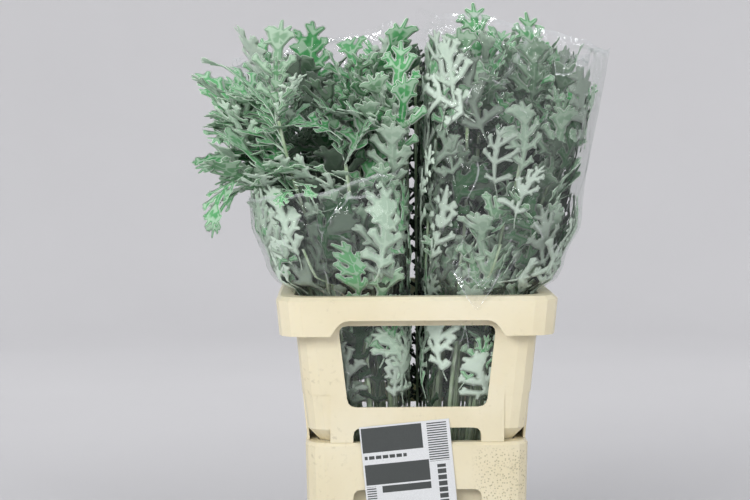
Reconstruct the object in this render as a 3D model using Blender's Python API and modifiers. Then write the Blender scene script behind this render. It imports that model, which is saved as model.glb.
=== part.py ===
"""Dusty miller: four bunches of silver, deeply lobed leaves on their cut stems.

Each bunch has an elastic band and a clear film sleeve. They stand in water in a cream plastic flower bucket,
which carries a cream collar.

Metres, +Z up. The front looks along +Y and +X is to its right. The origin is the middle of the bucket's flat bottom.
"""

import math
import random
from collections import namedtuple

import bmesh
import bpy
from mathutils import Matrix, Vector
from mathutils.bvhtree import BVHTree

MM = 0.001
GAP = 0.3 * MM  # between pieces that rest on each other

# Moulded plastic of the bucket and the collar
WALL = 2.5 * MM
CORNER_STEPS = 3

BUCKET_HEIGHT = 190 * MM
BUCKET_FOOT = (100 * MM, 77 * MM)  # half width, half depth
BUCKET_MOUTH = (118 * MM, 93.5 * MM)
BUCKET_SKIRT = (127.8 * MM, 102.8 * MM)  # inside of the skirt, at the rim
BUCKET_SKIRT_DROP = 75 * MM
BUCKET_CORNER = 20 * MM

COLLAR_FOOT_Z = BUCKET_HEIGHT + GAP
COLLAR_TOP_Z = 363 * MM
COLLAR_FOOT = (128 * MM, 103 * MM)
COLLAR_MOUTH = (144 * MM, 119 * MM)
COLLAR_SKIRT = (160 * MM, 135 * MM)
COLLAR_SKIRT_Z = 318 * MM
COLLAR_CORNER = 22 * MM

# The collar's liner drops inside the bucket's mouth, and shows where the collar's corners are cut away
LINER_FOOT_Z = BUCKET_HEIGHT - 12 * MM
LINER_FOOT = (114.1 * MM, 89.3 * MM)
LINER_KNEE_Z = 206 * MM
LINER_STEP = 2 * MM  # how far it stands back from the collar's face at the knee
LINER_BITE_Z = 244 * MM
LINER_TOP_Z = 252 * MM
LINER_BITE = 1 * MM
CORNER_NOTCH_TOP_Z = 247 * MM
CORNER_NOTCH = 27 * MM

WINDOW_Z = (232 * MM, 328 * MM)
WINDOW_FRONT = (80.5 * MM, 91 * MM)  # half widths at the sill and at the head
WINDOW_SIDE = (55 * MM, 64 * MM)
GRIP_Z = (300 * MM, 336 * MM)
GRIP_FRONT = (112 * MM, 88 * MM)
GRIP_SIDE = (84 * MM, 64 * MM)
ARCH_Z = (170 * MM, 207.5 * MM)
ARCH_FRONT = (74.5 * MM, 74.5 * MM)
NOTCH_Z = (100 * MM, 135 * MM)
NOTCH_FRONT = (75 * MM, 75 * MM)
NOTCH_SIDE = (50 * MM, 50 * MM)
OPENING_CORNER = 10 * MM

# The paper label on the front
LABEL = (105 * MM, 0.6 * MM, 160 * MM)
LABEL_MIDDLE = (-8 * MM, -106.2 * MM, 134 * MM)
LABEL_LEAN = math.radians(-5.4)

# Water in the bucket
WATER_TOP_Z = 60 * MM
WATER_HOLE = 23 * MM

# Stems and their elastic bands
STEMS = 10
STEM_RADIUS = 2.9 * MM
STEM_SIDES = 5
STEM_FOOT_Z = WALL + GAP
BUNDLE_AT = (48 * MM, 38 * MM)  # how far each bundle stands from the middle of the bucket
BAND_Z = 95 * MM
BAND_BUNDLE = 6.2 * MM
FOOT_BUNDLE = 14 * MM
BAND_INNER = 11.2 * MM
BAND_OUTER = 12.4 * MM
BAND_HEIGHT = 6 * MM
BAND_SIDES = 14
STEM_BEND_Z = 385 * MM
STEM_SPREAD = 0.62  # how much of the sleeve's room the stems use below that bend

# Film sleeves
FILM = 0.8 * MM
FILM_CLEARANCE = 1.2 * MM
SLEEVE_SIDES = 14
SLEEVE_SQUARENESS = 2.7  # the power of the superellipse
# Height, then how near to the middle planes and how far from them the film runs, in X and then in Y
SLEEVE_PROFILE = (
    (130 * MM, 12 * MM, 88 * MM, 6 * MM, 70 * MM),
    (190 * MM, 1 * MM, 111.2 * MM, 1 * MM, 86.4 * MM),
    (364.5 * MM, 1 * MM, 141.2 * MM, 1 * MM, 116.1 * MM),
    (394 * MM, 1 * MM, 162 * MM, 1 * MM, 131 * MM),
    (440 * MM, 1 * MM, 187 * MM, 1 * MM, 148 * MM),
    (646 * MM, 1 * MM, 224 * MM, 1 * MM, 166 * MM),
    (700 * MM, 1 * MM, 230 * MM, 1 * MM, 168 * MM),
)

# Leaves
BLADE = 0.9 * MM
LEAF_LENGTH = (100 * MM, 142 * MM)
LEAF_WIDTH_SHARE = 0.56
LEAF_CLEARANCE = 1.3 * MM
LEAF_TRIES = 700
ROOMY_Z = 425 * MM  # above this the sleeves are wide enough for leaves to spread
GOLDEN_ANGLE = math.radians(137.5)
# Along the midrib and across it, as shares of the leaf's length and of its half width
RIB = ((0.0, 0.045), (0.34, 0.07), (0.56, 0.17), (0.75, 0.20))
LOBES = (((0.42, 0.84), (0.57, 0.96)), ((0.64, 1.0), (0.80, 0.86)))
TIP = ((0.90, 0.42), (1.0, 0.0))

# Lip is how far the sleeve's edge drops from the middle of the bucket to its outer side
Bunch = namedtuple("Bunch", "name side_x side_y sleeve_top lip leaf_top reach spread leaves seed")
BUNCHES = (
    Bunch("front_left", -1, -1, 476 * MM, 0 * MM, 676 * MM, 262 * MM, 0.95, 44, 11),
    Bunch("front_right", 1, -1, 696 * MM, 48 * MM, 692 * MM, 226 * MM, 0.80, 40, 23),
    Bunch("back_left", -1, 1, 690 * MM, 50 * MM, 698 * MM, 226 * MM, 0.80, 38, 37),
    Bunch("back_right", 1, 1, 688 * MM, 46 * MM, 692 * MM, 226 * MM, 0.80, 36, 41),
)


def clear_scene():
    for thing in list(bpy.data.objects):
        bpy.data.objects.remove(thing)


def material(name, colour, roughness, alpha=1.0):
    made = bpy.data.materials.new(name)
    made.use_nodes = True
    shader = made.node_tree.nodes["Principled BSDF"]
    shader.inputs["Base Color"].default_value = (*colour, 1.0)
    shader.inputs["Roughness"].default_value = roughness
    shader.inputs["Metallic"].default_value = 0.0
    shader.inputs["Alpha"].default_value = alpha
    return made


def place(thing, collection, finish=None):
    collection.objects.link(thing)
    if finish:
        thing.data.materials.append(finish)
    return thing


def mesh_object(name, build):
    """An object whose mesh is made in a bmesh by build, with its faces pointing out."""
    shape = bmesh.new()
    build(shape)
    mesh = bpy.data.meshes.new(name)
    shape.to_mesh(mesh)
    shape.free()
    return bpy.data.objects.new(name, mesh)


def rounded_rectangle(half_x, half_y, radius, height):
    """A level ring of points, anticlockwise, with round corners."""
    ring = []
    for corner, (sign_x, sign_y) in enumerate(((1, 1), (-1, 1), (-1, -1), (1, -1))):
        for step in range(CORNER_STEPS + 1):
            angle = math.radians(90) * (corner + step / CORNER_STEPS)
            ring.append(
                (
                    sign_x * (half_x - radius) + radius * math.cos(angle),
                    sign_y * (half_y - radius) + radius * math.sin(angle),
                    height,
                )
            )
    return ring


def loft(name, rings, floor=False, lid=False):
    """A surface through rings of points, from the first to the last, open unless it has a floor or a lid."""

    def build(shape):
        rows = [[shape.verts.new(point) for point in ring] for ring in rings]
        for low, high in zip(rows, rows[1:]):
            for i in range(len(low)):
                j = (i + 1) % len(low)
                shape.faces.new((low[i], low[j], high[j], high[i]))
        if floor:
            shape.faces.new(reversed(rows[0]))
        if lid:
            shape.faces.new(rows[-1])

    return mesh_object(name, build)


def thicken(thing, thickness):
    """Gives an open surface a wall on the side away from its normals."""
    wall = thing.modifiers.new("wall", "SOLIDIFY")
    wall.thickness = thickness
    wall.offset = -1
    wall.use_even_offset = True
    return thing


def boolean(thing, operation, other, solver="EXACT"):
    """Cuts or joins with another object, or with all of a collection's objects."""
    cut = thing.modifiers.new(operation.lower(), "BOOLEAN")
    cut.operation = operation
    cut.solver = solver
    if isinstance(other, bpy.types.Collection):
        cut.operand_type = "COLLECTION"
        cut.collection = other
    else:
        cut.object = other
    return thing


def apply_modifiers(thing):
    graph = bpy.context.evaluated_depsgraph_get()
    made = bpy.data.meshes.new_from_object(thing.evaluated_get(graph))
    thing.modifiers.clear()
    thing.data = made
    return thing


def rounded_corner(before, corner, after, radius, steps=3):
    """The points that round one corner of a flat outline."""
    towards, away = (before - corner).normalized(), (after - corner).normalized()
    start, end = corner + towards * radius, corner + away * radius
    points = []
    for step in range(steps + 1):
        share = step / steps
        points.append(start.lerp(corner, share).lerp(corner.lerp(end, share), share))
    return points


def opening_cutter(name, half_widths, heights, near, far, turn, cutters):
    """A bar through a wall, with the outline of a rounded trapezium, from near to far from the middle plane."""
    low, high = half_widths
    bottom, top = heights
    corners = [
        Vector((-low, bottom, 0)),
        Vector((low, bottom, 0)),
        Vector((high, top, 0)),
        Vector((-high, top, 0)),
    ]
    outline = []
    for i, corner in enumerate(corners):
        outline += rounded_corner(corners[i - 1], corner, corners[(i + 1) % 4], OPENING_CORNER)
    curve = bpy.data.curves.new(name, "CURVE")
    curve.dimensions = "2D"
    curve.fill_mode = "BOTH"
    curve.extrude = (far - near) / 2
    line = curve.splines.new("POLY")
    line.points.add(len(outline) - 1)
    line.use_cyclic_u = True
    for point, place_at in zip(line.points, outline):
        point.co = (*place_at, 1)
    flat = bpy.data.objects.new(name + "_outline", curve)
    bpy.context.scene.collection.objects.link(flat)
    bpy.context.view_layer.update()
    mesh = bpy.data.meshes.new_from_object(flat.evaluated_get(bpy.context.evaluated_depsgraph_get()))
    bpy.data.objects.remove(flat)
    shape = bmesh.new()
    shape.from_mesh(mesh)
    bmesh.ops.remove_doubles(shape, verts=shape.verts, dist=0.01 * MM)
    bmesh.ops.recalc_face_normals(shape, faces=shape.faces)
    shape.to_mesh(mesh)
    shape.free()
    upright = Matrix.Rotation(math.radians(90), 4, "X")
    outwards = Matrix.Translation((0, -(near + far) / 2, 0))
    mesh.transform(Matrix.Rotation(turn, 4, "Z") @ outwards @ upright)
    cutter = bpy.data.objects.new(name, mesh)
    return helper(cutter, cutters)


def helper(thing, cutters):
    thing.hide_render = True
    thing.display_type = "WIRE"
    cutters.objects.link(thing)
    return thing


def taper(foot, mouth, height, low, high):
    """Half width and half depth at a height, on the straight line between two levels."""
    share = (height - low) / (high - low)
    return tuple(a + (b - a) * share for a, b in zip(foot, mouth))


def bucket_at(height):
    return taper(BUCKET_FOOT, BUCKET_MOUTH, height, 0, BUCKET_HEIGHT - WALL)


def collar_at(height):
    return taper(COLLAR_FOOT, COLLAR_MOUTH, height, COLLAR_FOOT_Z, COLLAR_TOP_Z - WALL)


def make_bucket(parts, cutters, cream):
    """Tapered wall and flat floor, then the rim turned out and down as a skirt with a hand notch on each side."""
    rim_z = BUCKET_HEIGHT - WALL
    edge = 2 * MM
    skirt_foot = [side - 1.5 * MM for side in BUCKET_SKIRT]
    sections = (
        (*BUCKET_FOOT, BUCKET_CORNER, 0),
        (*BUCKET_MOUTH, BUCKET_CORNER, rim_z),
        (BUCKET_SKIRT[0] - edge, BUCKET_SKIRT[1] - edge, BUCKET_CORNER, rim_z),
        (*BUCKET_SKIRT, BUCKET_CORNER, rim_z - edge),
        (*skirt_foot, BUCKET_CORNER, BUCKET_HEIGHT - BUCKET_SKIRT_DROP),
    )
    rings = [rounded_rectangle(*section) for section in sections]
    bucket = thicken(loft("bucket", rings, floor=True), WALL)
    place(bucket, parts, cream)
    for side in range(4):
        front = side % 2 == 0
        widths = NOTCH_FRONT if front else NOTCH_SIDE
        inner = (BUCKET_MOUTH[1] if front else BUCKET_MOUTH[0]) + 2 * MM
        turn = side * math.radians(90)
        notch = opening_cutter(f"bucket_notch_{side}", widths, NOTCH_Z, inner, inner + 30 * MM, turn, cutters)
        boolean(bucket, "DIFFERENCE", notch)
    return bucket


def make_collar(parts, cutters, cream):
    """The tapered collar: wall, rim, skirt with grips, windows, cut-away corners and the liner inside."""
    rim_z = COLLAR_TOP_Z - WALL
    edge = 3 * MM
    skirt_foot = [side - 3.5 * MM for side in COLLAR_SKIRT]
    rim_corner = COLLAR_CORNER + 4 * MM
    sections = (
        (*COLLAR_FOOT, COLLAR_CORNER, COLLAR_FOOT_Z),
        (*COLLAR_MOUTH, COLLAR_CORNER, rim_z),
        (COLLAR_SKIRT[0] - edge, COLLAR_SKIRT[1] - edge, rim_corner, rim_z),
        (*COLLAR_SKIRT, rim_corner, rim_z - edge),
        (*skirt_foot, rim_corner, COLLAR_SKIRT_Z),
    )
    collar = thicken(loft("collar", [rounded_rectangle(*section) for section in sections]), WALL)
    place(collar, parts, cream)

    reach = 40 * MM
    for i, (sign_x, sign_y) in enumerate(((1, 1), (-1, 1), (-1, -1), (1, -1))):
        middle = (
            sign_x * (COLLAR_FOOT[0] - CORNER_NOTCH + reach / 2),
            sign_y * (COLLAR_FOOT[1] - CORNER_NOTCH + reach / 2),
            CORNER_NOTCH_TOP_Z - reach,
        )
        size = Matrix.Diagonal((reach, reach, 2 * reach, 1))
        block = mesh_object(
            f"corner_notch_{i}",
            lambda shape, at=middle, big=size: bmesh.ops.create_cube(
                shape, size=1, matrix=Matrix.Translation(at) @ big
            ),
        )
        boolean(collar, "DIFFERENCE", helper(block, cutters))

    knee = [side - LINER_STEP for side in collar_at(LINER_KNEE_Z)]
    bite = [side - LINER_BITE for side in collar_at(LINER_BITE_Z)]
    top = [side - LINER_BITE for side in collar_at(LINER_TOP_Z)]
    liner_sections = (
        (*LINER_FOOT, COLLAR_CORNER - 4 * MM, LINER_FOOT_Z),
        (*LINER_FOOT, COLLAR_CORNER - 4 * MM, COLLAR_FOOT_Z),
        (*knee, COLLAR_CORNER - LINER_STEP, LINER_KNEE_Z),
        (*bite, COLLAR_CORNER - LINER_BITE, LINER_BITE_Z),
        (*top, COLLAR_CORNER - LINER_BITE, LINER_TOP_Z),
    )
    liner = loft("collar_liner", [rounded_rectangle(*section) for section in liner_sections])
    boolean(collar, "UNION", helper(thicken(liner, WALL), cutters))

    for side in range(4):
        front = side % 2 == 0
        turn = side * math.radians(90)
        body = COLLAR_MOUTH[1] if front else COLLAR_MOUTH[0]
        window = WINDOW_FRONT if front else WINDOW_SIDE
        grip = GRIP_FRONT if front else GRIP_SIDE
        inner = body - 26 * MM
        outer = body + 5 * MM
        openings = [
            opening_cutter(f"window_{side}", window, WINDOW_Z, inner, outer, turn, cutters),
            opening_cutter(f"grip_{side}", grip, GRIP_Z, outer, outer + 25 * MM, turn, cutters),
        ]
        if front:
            openings.append(
                opening_cutter(f"arch_{side}", ARCH_FRONT, ARCH_Z, inner - 10 * MM, outer, turn, cutters)
            )
        for cutter in openings:
            boolean(collar, "DIFFERENCE", cutter)
    return collar


def make_label(parts, paper):
    """A paper card that hangs a little askew in front of the bucket's rim and the collar's foot."""
    bpy.ops.mesh.primitive_cube_add(size=1, location=LABEL_MIDDLE, rotation=(0, LABEL_LEAN, 0))
    label = bpy.context.object
    label.name = "label"
    label.data.transform(Matrix.Diagonal((*LABEL, 1)))
    label.users_collection[0].objects.unlink(label)
    return place(label, parts, paper)


def make_water(parts, cutters, water_look):
    """Water in the foot of the bucket, with one plain hole for each bundle of stems."""
    inset = WALL + 2 * GAP
    sections = []
    for height in (WALL + GAP, WATER_TOP_Z):
        half_x, half_y = bucket_at(height)
        sections.append((half_x - inset, half_y - inset, BUCKET_CORNER - inset, height))
    water = loft("water", [rounded_rectangle(*section) for section in sections], floor=True, lid=True)
    place(water, parts, water_look)
    for bunch in BUNCHES:
        at = (bunch.side_x * BUNDLE_AT[0], bunch.side_y * BUNDLE_AT[1], WATER_TOP_Z / 2)
        hole = mesh_object(
            f"water_hole_{bunch.name}",
            lambda shape, at=at: bmesh.ops.create_cone(
                shape,
                cap_ends=True,
                segments=12,
                radius1=WATER_HOLE,
                radius2=WATER_HOLE,
                depth=2 * WATER_TOP_Z,
                matrix=Matrix.Translation(at),
            ),
        )
        boolean(water, "DIFFERENCE", helper(hole, cutters))
    return water


def make_band(bunch, parts, rubber):
    """The elastic band round one bundle: a flat ring, turned about the bundle."""
    half = BAND_HEIGHT / 2
    profile = ((BAND_OUTER, half), (BAND_OUTER, -half), (BAND_INNER, -half), (BAND_INNER, half))
    band = bpy.data.objects.new("band_" + bunch.name, bpy.data.meshes.new("band_" + bunch.name))
    band.data.from_pydata([(x, 0, z) for x, z in profile], [(0, 1), (1, 2), (2, 3), (3, 0)], [])
    turned = band.modifiers.new("turned", "SCREW")
    turned.steps = turned.render_steps = BAND_SIDES
    turned.use_merge_vertices = True
    turned.merge_threshold = 0.01 * MM
    band.location = (bunch.side_x * BUNDLE_AT[0], bunch.side_y * BUNDLE_AT[1], BAND_Z)
    return place(band, parts, rubber)


def sleeve_at(bunch, height):
    """Centre and half sizes of a bunch's film at a height."""
    rows = SLEEVE_PROFILE
    height = min(max(height, rows[0][0]), rows[-1][0])
    for low, high in zip(rows, rows[1:]):
        if height <= high[0]:
            break
    share = (height - low[0]) / (high[0] - low[0])
    near_x, far_x, near_y, far_y = (a + (b - a) * share for a, b in zip(low[1:], high[1:]))
    centre = (bunch.side_x * (near_x + far_x) / 2, bunch.side_y * (near_y + far_y) / 2)
    return centre, ((far_x - near_x) / 2, (far_y - near_y) / 2)


def sleeve_ring(bunch, height, inset=0.0, lip=0.0):
    """The film's outline at a height, or along its lip, which drops by as much as lip to the outer side."""
    centre, half = sleeve_at(bunch, height)
    half = [side - inset for side in half]
    ring = []
    for step in range(SLEEVE_SIDES):
        angle = math.tau * (step + 0.5) / SLEEVE_SIDES
        across, along = math.cos(angle), math.sin(angle)
        power = 2 / SLEEVE_SQUARENESS
        x = math.copysign(abs(across) ** power, across)
        y = math.copysign(abs(along) ** power, along)
        drop = lip * (1 + bunch.side_x * x) / 2
        ring.append((centre[0] + half[0] * x, centre[1] + half[1] * y, height - drop))
    return ring


def sleeve_rings(bunch, top, inset=0.0):
    """Rings of the film from its foot to the lip, whose highest point is at top."""
    below = [row[0] for row in SLEEVE_PROFILE if row[0] < bunch.sleeve_top - bunch.lip - 5 * MM]
    return [sleeve_ring(bunch, height, inset) for height in below] + [sleeve_ring(bunch, top, inset, bunch.lip)]


def make_sleeve(bunch, parts, film):
    """A tapered tube of clear film, open at both ends."""
    rings = sleeve_rings(bunch, bunch.sleeve_top)
    return place(thicken(loft("sleeve_" + bunch.name, rings), FILM), parts, film)


def stem_spot(index):
    """Where a stem stands in its bundle, as shares of the bundle's size: two in the middle, the rest in a ring."""
    if index < 2:
        return (0.36 * (-1) ** index, 0.1)
    angle = math.tau * (index - 2) / (STEMS - 2) + 0.2
    return (math.cos(angle), math.sin(angle))


def stem_knot(bunch, index, height):
    """A point that a stem's axis bends at: gathered at the band, and spread with the sleeve above it."""
    spot = stem_spot(index)
    bundle = (bunch.side_x * BUNDLE_AT[0], bunch.side_y * BUNDLE_AT[1])
    if height <= BAND_Z:
        size = BAND_BUNDLE + (FOOT_BUNDLE - BAND_BUNDLE) * (BAND_Z - height) / BAND_Z
        return Vector((bundle[0] + size * spot[0], bundle[1] + size * spot[1], height))
    centre, half = sleeve_at(bunch, height)
    spread = STEM_SPREAD if height <= STEM_BEND_Z else bunch.spread
    return Vector((*(middle + spread * side * at for middle, side, at in zip(centre, half, spot)), height))


def stem_axis(bunch, index):
    heights = (STEM_FOOT_Z, BAND_Z, BUCKET_HEIGHT, STEM_BEND_Z, stem_top(bunch, index))
    return [stem_knot(bunch, index, height) for height in heights]


def stem_point(bunch, index, height):
    """The point of a stem's axis at a height."""
    knots = stem_axis(bunch, index)
    for low, high in zip(knots, knots[1:]):
        if height <= high.z:
            break
    return low.lerp(high, (height - low.z) / (high.z - low.z))


def stem_top(bunch, index):
    """Stems of unequal length, the middle ones tallest."""
    rank = (index * 7 + bunch.seed) % STEMS
    lift = 18 * MM if index < 2 else 0
    return bunch.leaf_top - 112 * MM - rank * 7 * MM + lift


def make_stem(bunch, index):
    """A thin tapering tube along the stem's axis."""
    rings = []
    for middle in stem_axis(bunch, index):
        slimmer = max(middle.z - BUCKET_HEIGHT, 0) / (bunch.leaf_top - BUCKET_HEIGHT)
        radius = STEM_RADIUS * (1 - 0.45 * slimmer)
        ring = []
        for side in range(STEM_SIDES):
            angle = math.tau * side / STEM_SIDES
            ring.append(middle + Vector((radius * math.cos(angle), radius * math.sin(angle), 0)))
        rings.append(ring)
    return loft(f"stem_{bunch.name}_{index}", rings, floor=True, lid=True)


class Leaf:
    """Where one leaf grows and how it is bent."""

    def __init__(self, root, turn, rise, roll, bend, cup, length):
        self.root, self.bend, self.cup, self.length = root, bend, cup, length
        self.half_width = length * LEAF_WIDTH_SHARE / 2
        outward = Vector((math.cos(turn), math.sin(turn), 0))
        self.along = outward * math.cos(rise) + Vector((0, 0, math.sin(rise)))
        face = -outward * math.sin(rise) + Vector((0, 0, math.cos(rise)))
        lean = Matrix.Rotation(roll, 3, self.along)
        self.face = lean @ face
        self.across = self.along.cross(self.face)

    def point(self, along, across):
        """A point of the blade, from shares of its length and half width."""
        curl = self.bend / self.length
        run = along * self.length * curl
        middle = self.root + (self.along * math.sin(run) - self.face * (1 - math.cos(run))) / curl
        normal = self.face * math.cos(run) + self.along * math.sin(run)
        side = across * self.half_width
        return middle + self.across * side + normal * self.cup * side * side / self.half_width


def leaf_outline():
    """Points (along, across) and triangles of a lobed blade: a rib, two pairs of lobes and the end lobe."""
    points, faces = [], []
    for side in (-1, 1):
        points += [(along, side * across) for along, across in RIB]
    left, right = range(len(RIB)), range(len(RIB), 2 * len(RIB))
    for row in range(len(RIB) - 1):
        faces.append((left[row], right[row], right[row + 1]))
        faces.append((left[row], right[row + 1], left[row + 1]))
    for edge, side in ((left, -1), (right, 1)):
        for row, lobe in enumerate(LOBES, start=1):
            low, high = len(points), len(points) + 1
            points += [(along, side * across) for along, across in lobe]
            lobe_faces = [(edge[row], edge[row + 1], high), (edge[row], high, low)]
            faces += [face if side < 0 else face[::-1] for face in lobe_faces]
    (shoulder, width), end = TIP
    first = len(points)
    points += [(shoulder, -width), end, (shoulder, width)]
    faces.append((left[-1], right[-1], first + 1))
    faces.append((left[-1], first + 1, first))
    faces.append((right[-1], first + 2, first + 1))
    return points, faces


OUTLINE_POINTS, OUTLINE_FACES = leaf_outline()


def leaf_tree(leaf, clearance):
    """The blade as three layers, a clearance apart, for finding what it would cross."""
    points, faces = [], []
    shift = leaf.face * clearance
    for layer in (-1, 0, 1):
        start = len(points)
        points += [leaf.point(along, across) + shift * layer for along, across in OUTLINE_POINTS]
        faces += [tuple(start + i for i in face) for face in OUTLINE_FACES]
    return BVHTree.FromPolygons(points, faces)


def tree_of(thing):
    mesh = thing.data
    return BVHTree.FromPolygons([v.co for v in mesh.vertices], [tuple(p.vertices) for p in mesh.polygons])


def tree_once(thing):
    """The tree of an object that is made for it alone."""
    tree = tree_of(thing)
    bpy.data.objects.remove(thing)
    return tree


def film_trees(bunch):
    """The two sides of a bunch's film, a clearance off it, which leaves stay clear of."""
    top = bunch.sleeve_top + FILM_CLEARANCE
    insets = (FILM + FILM_CLEARANCE, -FILM_CLEARANCE)
    return [tree_once(loft("film", sleeve_rings(bunch, top, inset))) for inset in insets]


def draw_leaf(bunch, index, number, chance):
    """One try at a leaf: round the stem by the golden angle, steep inside the film and arching above it."""
    top = stem_top(bunch, index)
    share = (number // STEMS + chance.random()) / (bunch.leaves / STEMS)
    low = 205 * MM
    height = low + (top - 6 * MM - low) * min(share ** 0.8, 1.0)
    root = stem_point(bunch, index, height)
    spot = stem_spot(index)
    outward = math.atan2(spot[1], spot[0])
    turn = outward + chance.uniform(-1.9, 1.9) if index >= 2 else number * GOLDEN_ANGLE + chance.uniform(-1, 1)
    if height > bunch.leaf_top - 175 * MM:
        low_rise, high_rise = 30, 84
    elif height > bunch.sleeve_top - 75 * MM:
        low_rise, high_rise = -20, 65
    elif height > ROOMY_Z:
        low_rise, high_rise = 10, 70
    else:
        low_rise, high_rise = 48, 84
    rise = math.radians(chance.uniform(low_rise, high_rise))
    bend = math.radians(chance.uniform(15, 90) if height > bunch.sleeve_top else chance.uniform(4, 50))
    length = chance.uniform(*LEAF_LENGTH)
    roll = math.radians(chance.uniform(-35, 35))
    return Leaf(root, turn, rise, roll, bend, chance.uniform(0.08, 0.3), length)


def within(bunch, leaf):
    """Whether a leaf stays in its bunch's own quarter, under the top and clear of the collar's rim."""
    for along, across in OUTLINE_POINTS[1:]:
        x, y, z = leaf.point(along, across)
        if x * bunch.side_x < 3 * MM or y * bunch.side_y < 3 * MM:
            return False
        if z > bunch.leaf_top or abs(x) > bunch.reach or abs(y) > 172 * MM:
            return False
        if z < COLLAR_TOP_Z + 22 * MM and (abs(x) > 138 * MM or abs(y) > 113 * MM):
            return False
    return True


def grow_leaves(bunch, films, placed):
    """Leaves of one bunch, each turned until it is clear of the film, of other leaves and of other stems."""
    chance = random.Random(bunch.seed)
    stem_trees = [tree_once(make_stem(bunch, index)) for index in range(STEMS)]
    leaves = []
    for number in range(bunch.leaves):
        index = (number * 3) % STEMS
        for _ in range(LEAF_TRIES):
            leaf = draw_leaf(bunch, index, number, chance)
            if not within(bunch, leaf):
                continue
            tree = leaf_tree(leaf, LEAF_CLEARANCE)
            others = [stem for i, stem in enumerate(stem_trees) if i != index]
            if any(tree.overlap(other) for other in films + placed + others):
                continue
            leaves.append(leaf)
            placed.append(leaf_tree(leaf, 0.0))
            break
    return leaves


def make_leaf(name, leaf):
    """The solid blade: the outline's triangles on the arched surface, given their thickness."""

    def build(shape):
        verts = [shape.verts.new(leaf.point(along, across)) for along, across in OUTLINE_POINTS]
        for face in OUTLINE_FACES:
            shape.faces.new([verts[i] for i in face])
        shape.normal_update()
        bmesh.ops.solidify(shape, geom=shape.faces[:], thickness=BLADE)
        bmesh.ops.recalc_face_normals(shape, faces=shape.faces)

    return mesh_object(name, build)


def make_bunch(bunch, leaves, parts, green):
    """Ten stems, fused where the band presses them together, with their leaves sunk into them."""
    grown = bpy.data.collections.new("growth_" + bunch.name)
    bpy.context.scene.collection.children.link(grown)
    stems = [make_stem(bunch, index) for index in range(STEMS)]
    for stem in stems[1:]:
        grown.objects.link(stem)
    for i, leaf in enumerate(leaves):
        grown.objects.link(make_leaf(f"leaf_{bunch.name}_{i}", leaf))
    body = stems[0]
    body.name = "bunch_" + bunch.name
    place(body, parts, green)
    boolean(body, "UNION", grown, solver="MANIFOLD")
    apply_modifiers(body)
    for thing in list(grown.objects):
        bpy.data.objects.remove(thing)
    bpy.data.collections.remove(grown)
    return body


def main():
    clear_scene()
    parts = bpy.data.collections.new("dusty_miller")
    cutters = bpy.data.collections.new("cutters")
    for collection in (parts, cutters):
        bpy.context.scene.collection.children.link(collection)
    cream = material("cream_plastic", (0.80, 0.72, 0.52), 0.45)
    paper = material("label_paper", (0.86, 0.87, 0.89), 0.6)
    water_look = material("water", (0.55, 0.62, 0.60), 0.1, alpha=0.5)
    rubber = material("elastic_band", (0.42, 0.26, 0.12), 0.6)
    film = material("clear_film", (0.90, 0.93, 0.94), 0.12, alpha=0.25)
    green = material("felted_leaf", (0.42, 0.53, 0.45), 0.85)

    make_bucket(parts, cutters, cream)
    make_collar(parts, cutters, cream)
    make_label(parts, paper)
    make_water(parts, cutters, water_look)
    films = [tree for bunch in BUNCHES for tree in film_trees(bunch)]
    placed = []
    for bunch in BUNCHES:
        make_sleeve(bunch, parts, film)
        make_band(bunch, parts, rubber)
        make_bunch(bunch, grow_leaves(bunch, films, placed), parts, green)


main()
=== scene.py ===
"""The looks of the dusty miller in its flower bucket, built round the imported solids.

Metres, +Z up, the front faces -Y. Each bunch has fine lobed leaves at the places of its solid ones, more
leaves between them, leaves pressed flat against the film, felted stems and a creased film sleeve.
"""

import math
import random

import bpy
import numpy as np
from mathutils import Matrix, Vector
from mathutils.bvhtree import BVHTree
from mathutils.geometry import delaunay_2d_cdt

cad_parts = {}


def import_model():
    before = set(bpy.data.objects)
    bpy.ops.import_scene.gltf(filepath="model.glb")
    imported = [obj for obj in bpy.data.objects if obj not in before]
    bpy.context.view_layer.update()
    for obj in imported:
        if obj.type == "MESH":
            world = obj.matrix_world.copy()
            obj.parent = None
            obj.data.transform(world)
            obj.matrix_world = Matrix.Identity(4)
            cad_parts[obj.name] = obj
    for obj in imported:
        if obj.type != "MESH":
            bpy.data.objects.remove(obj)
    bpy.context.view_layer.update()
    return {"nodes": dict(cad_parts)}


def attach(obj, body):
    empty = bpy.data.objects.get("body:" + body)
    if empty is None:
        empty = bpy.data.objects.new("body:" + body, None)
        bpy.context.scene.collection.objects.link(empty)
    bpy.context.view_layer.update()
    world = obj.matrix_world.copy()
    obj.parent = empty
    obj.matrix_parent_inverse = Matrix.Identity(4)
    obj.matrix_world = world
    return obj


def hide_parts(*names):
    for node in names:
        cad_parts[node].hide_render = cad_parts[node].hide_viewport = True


MM = 0.001

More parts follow.
